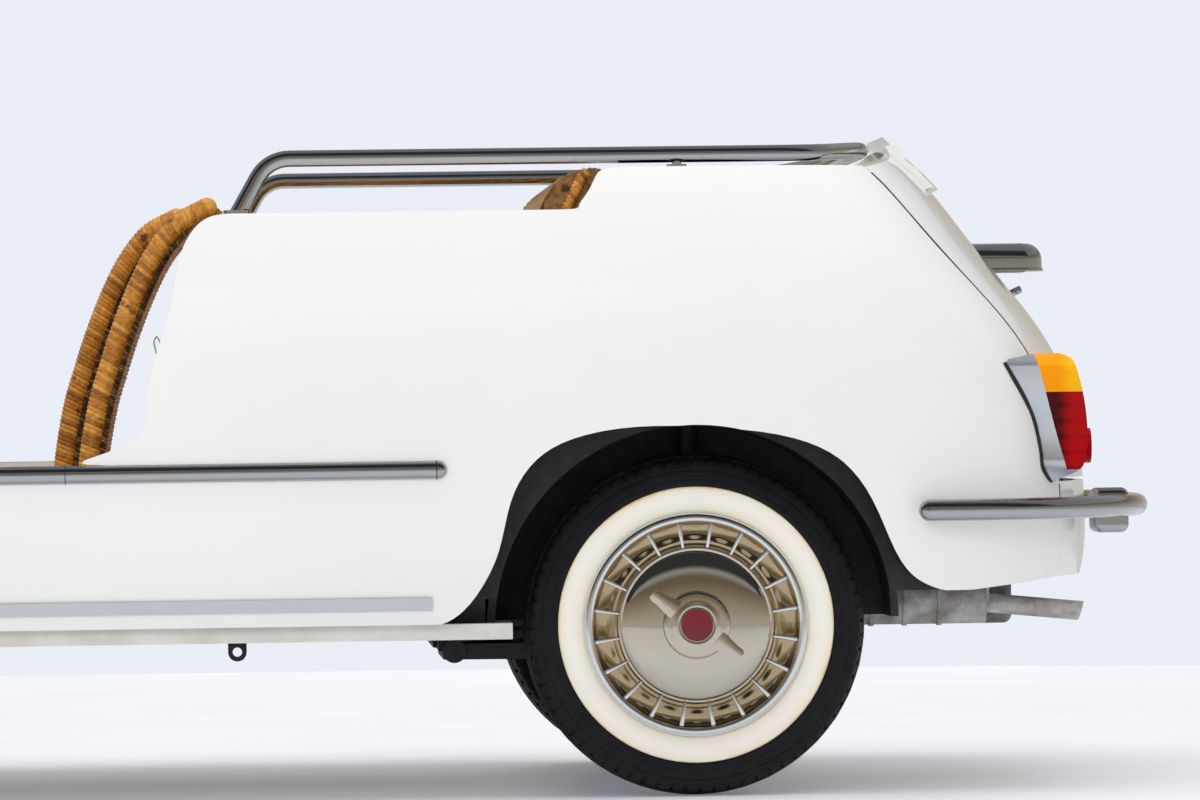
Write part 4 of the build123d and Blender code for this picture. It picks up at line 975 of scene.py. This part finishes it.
def lid_fittings():
    """Closed ends of the air intake, the rounded hood over the number plate and the lid's turning handle."""
    lid = skin("engine_lid")
    bm = bmesh.new()
    outer = smooth_path([(-1.308, 0.3304, 0.919), (-1.283, 0.3304, 0.948), (-1.268, 0.3304, 0.960),
                         (-1.252, 0.3304, 0.988)], 10)
    inner = [p + Vector((0.017, 0, -0.006)) for p in reversed(outer)]
    plate = bm.faces.new([bm.verts.new(p) for p in outer + inner])
    lifted = bmesh.ops.extrude_face_region(bm, geom=[plate])["geom"]
    bmesh.ops.translate(bm, verts=points_of(lifted), vec=(0, 0.0016, 0))
    bmesh.ops.recalc_face_normals(bm, faces=bm.faces)
    trim("intake_end_plates", both_sides(bm), ENAMEL, "body_paint", "engine_lid")

    turns = [math.asin(HOOD_HALF / HOOD_ARC_R) * (1 - i / 12) for i in range(13)]
    arc = [(HOOD_ARC_X - HOOD_ARC_R * math.cos(a), HOOD_ARC_R * math.sin(a)) for a in turns]
    half_plan = [(HOOD_ROOT_X, HOOD_HALF)] + arc
    plan = half_plan + [(x, -y) for x, y in reversed(half_plan) if y]
    bm = bmesh.new()
    for low, high, grow, soft, steps in HOOD_SHELLS:
        shell = bmesh.new()
        ring = [shell.verts.new((x - grow, y * (1 + grow / HOOD_HALF), low)) for x, y in plan]
        lifted = bmesh.ops.extrude_face_region(shell, geom=[shell.faces.new(ring)])["geom"]
        bmesh.ops.translate(shell, verts=points_of(lifted), vec=(0, 0, high - low))
        bmesh.ops.recalc_face_normals(shell, faces=shell.faces)
        rims = [e for e in shell.edges if all(v.co.z > high - 1e-5 for v in e.verts)]
        bmesh.ops.bevel(shell, geom=rims, offset=soft, segments=steps, profile=0.5, affect="EDGES",
                        material=-1)
        join(bm, shell)
    join(bm, slab((0.085, 0.070, 0.004), 0.0015, 2), Matrix.Translation((-1.437, 0, 0.7925)), 1)
    piece("number_plate_hood", bm, [CHROME, LENS_CLEAR], "engine_lid", "chrome", ("plate_lamp",), 40)

    foot = drop(lid, (-1.8, 0.0, 0.752), (1, 0, 0))
    bm = bmesh.new()
    join(bm, drum(0.014, 0.008, 32, 0.003), aim(foot, HANDLE_WAY))
    join(bm, drum(0.006, 0.018, 20, 0.002), aim(foot + Vector((-0.012, 0, 0.0054)), HANDLE_WAY))
    join(bm, slab((0.040, 0.010, 0.009), 0.004, 3), aim(foot + Vector((-0.0215, 0, 0.0097)), HANDLE_WAY))
    trim("engine_lid_handle", bm, CHROME, "chrome", "engine_lid")


def quarter_fittings():
    """Wire catches on the quarters' front edges and white buffers on the sills."""
    side = skin("body_side_left")
    bm = bmesh.new()
    loop = [(-113, 701), (-118, 692), (-121, 672), (-125, 654), (-119, 652), (-114, 670), (-109, 692),
            (-113, 701)]
    points = [Vector((x * MM, 0.655, z * MM)) for x, z in loop]
    join(bm, tube(smooth_path(points, 40), 0.0012, 8, ends=False))
    trim("wire_catches", both_sides(bm), CHROME, "chrome")
    bm = slab((22 * MM, 16 * MM, 15 * MM), 3.5 * MM, 3)
    at = drop(side, (0.0205, 0.60, 0.80), (0, 0, -1))
    bmesh.ops.translate(bm, verts=bm.verts, vec=(0.0205, 0.60, at.z + 0.0072))
    trim("white_sill_buffers", both_sides(bm), WHITE_NYLON, "body_paint")


# Middle of the speed dial across the car and its height.
DIAL_Y, DIAL_Z = 0.3, 0.79
# Middle, length and width of a front mat, and the distance between its ribs.
MAT_X, MAT_LONG, MAT_WIDE, MAT_RIB_STEP = 0.515, 0.43, 0.40, 0.016
# Way the dash faces.
BACKWARD = (-1, 0, 0)


def on_dial(x, degrees, out):
    """Placement on the dial's face at an angle from the top and a distance from the middle."""
    return Matrix.Translation((x, DIAL_Y, DIAL_Z)) @ Matrix.Rotation(math.radians(degrees), 4, "X") \
        @ Matrix.Translation((0, 0, out))


def cabin_fittings():
    """Dial, switches, mirror, wipers, pads and mats."""
    bm = bmesh.new()
    join(bm, drum(0.0655, 0.003, 48), aim((0.5555, DIAL_Y, DIAL_Z), BACKWARD), 0)
    join(bm, drum(0.007, 0.006, 24, 0.002), aim((0.5535, DIAL_Y, DIAL_Z), BACKWARD), 1)
    for degrees in range(-120, 121, 20):
        join(bm, slab((0.0008, 0.0022, 0.010)), on_dial(0.5521, degrees, 0.055), 1)
    join(bm, slab((0.0008, 0.0024, 0.046)), on_dial(0.5515, -100, 0.022), 2)
    piece("speed_dial", bm, [BLACK_RUBBER, IVORY_PLASTIC, RED_ENAMEL], "car", "chassis_black")

    bm = bmesh.new()
    for y in (0.06, 0.0, -0.06, -0.12):
        join(bm, drum(0.004, 0.020, 16), aim((0.577, y, 0.775), BACKWARD), 0)
        join(bm, drum(0.011, 0.012, 24, 0.004), aim((0.560, y, 0.775), BACKWARD), 1)
    piece("dash_switches", bm, [CHROME, IVORY_PLASTIC], "car", "chrome")

    bm = bmesh.new()
    join(bm, slab((0.010, 0.180, 0.050), 0.004, 3), Matrix.Translation((0.432, 0, 1.150)), 0)
    join(bm, slab((0.001, 0.168, 0.040)), Matrix.Translation((0.4266, 0, 1.150)), 1)
    arm = smooth_path([(0.438, 0, 1.155), (0.462, 0, 1.175), (0.480, 0, 1.205)], 10)
    join(bm, tube(arm, 0.004, 10), finish_index=1)
    piece("interior_mirror", bm, [BLACK_RUBBER, CHROME], "car", "chrome")

    screen = skin("windshield_glass")
    bm = bmesh.new()
    for y in (0.38, -0.08):
        foot = drop(screen, (1.2, y, 0.945), BACKWARD)
        blade = [drop(screen, (1.2, y - 0.30 * t, 0.945 + 0.06 * t), BACKWARD, 0.006)
                 for t in (0.25, 0.5, 0.75, 1)]
        arm = [(foot.x + 0.020, y, 0.938)] + [p + Vector((0.012, 0, 0)) for p in blade[:3]]
        join(bm, drum(0.009, 0.030, 20, 0.004), aim((foot.x + 0.014, y, 0.912), (0.3, 0, 1)), 0)
        join(bm, tube(smooth_path(arm, 14), 0.0026, 8), finish_index=0)
        join(bm, tube(smooth_path(blade, 16), 0.0035, 8), finish_index=1)
    piece("wipers", bm, [CHROME, BLACK_RUBBER], "car", "chrome")

    bm = bmesh.new()
    for y in (0.29, -0.29):
        join(bm, slab((MAT_LONG, MAT_WIDE, 0.005), 0.002, 1), Matrix.Translation((MAT_X, y, 0.2668)), 0)
        for i in range(int(MAT_WIDE / MAT_RIB_STEP)):
            at = (MAT_X, y - MAT_WIDE / 2 + 0.012 + MAT_RIB_STEP * i, 0.2702)
            join(bm, slab((MAT_LONG - 0.03, 0.006, 0.003), 0.001, 1), Matrix.Translation(at), 0)
    piece("ribbed_floor_mats", bm, [BLACK_RUBBER], "car", "chassis_black")

    bm = bmesh.new()
    for y in (0.205, 0.285, 0.365):
        join(bm, slab((0.006, 0.052, 0.060), 0.002, 2), Matrix.Translation((0.694, y, 0.4215))
             @ Matrix.Rotation(math.radians(25), 4, "Y"), 0)
    piece("pedal_rubbers", bm, [BLACK_RUBBER], "car", "chassis_black")


random.seed(7)
dress_frame()
camera()
studio()
wheels()
seats()
body_seals()
lid_fittings()
quarter_fittings()
cabin_fittings()

scene.view_settings.view_transform = "Standard"
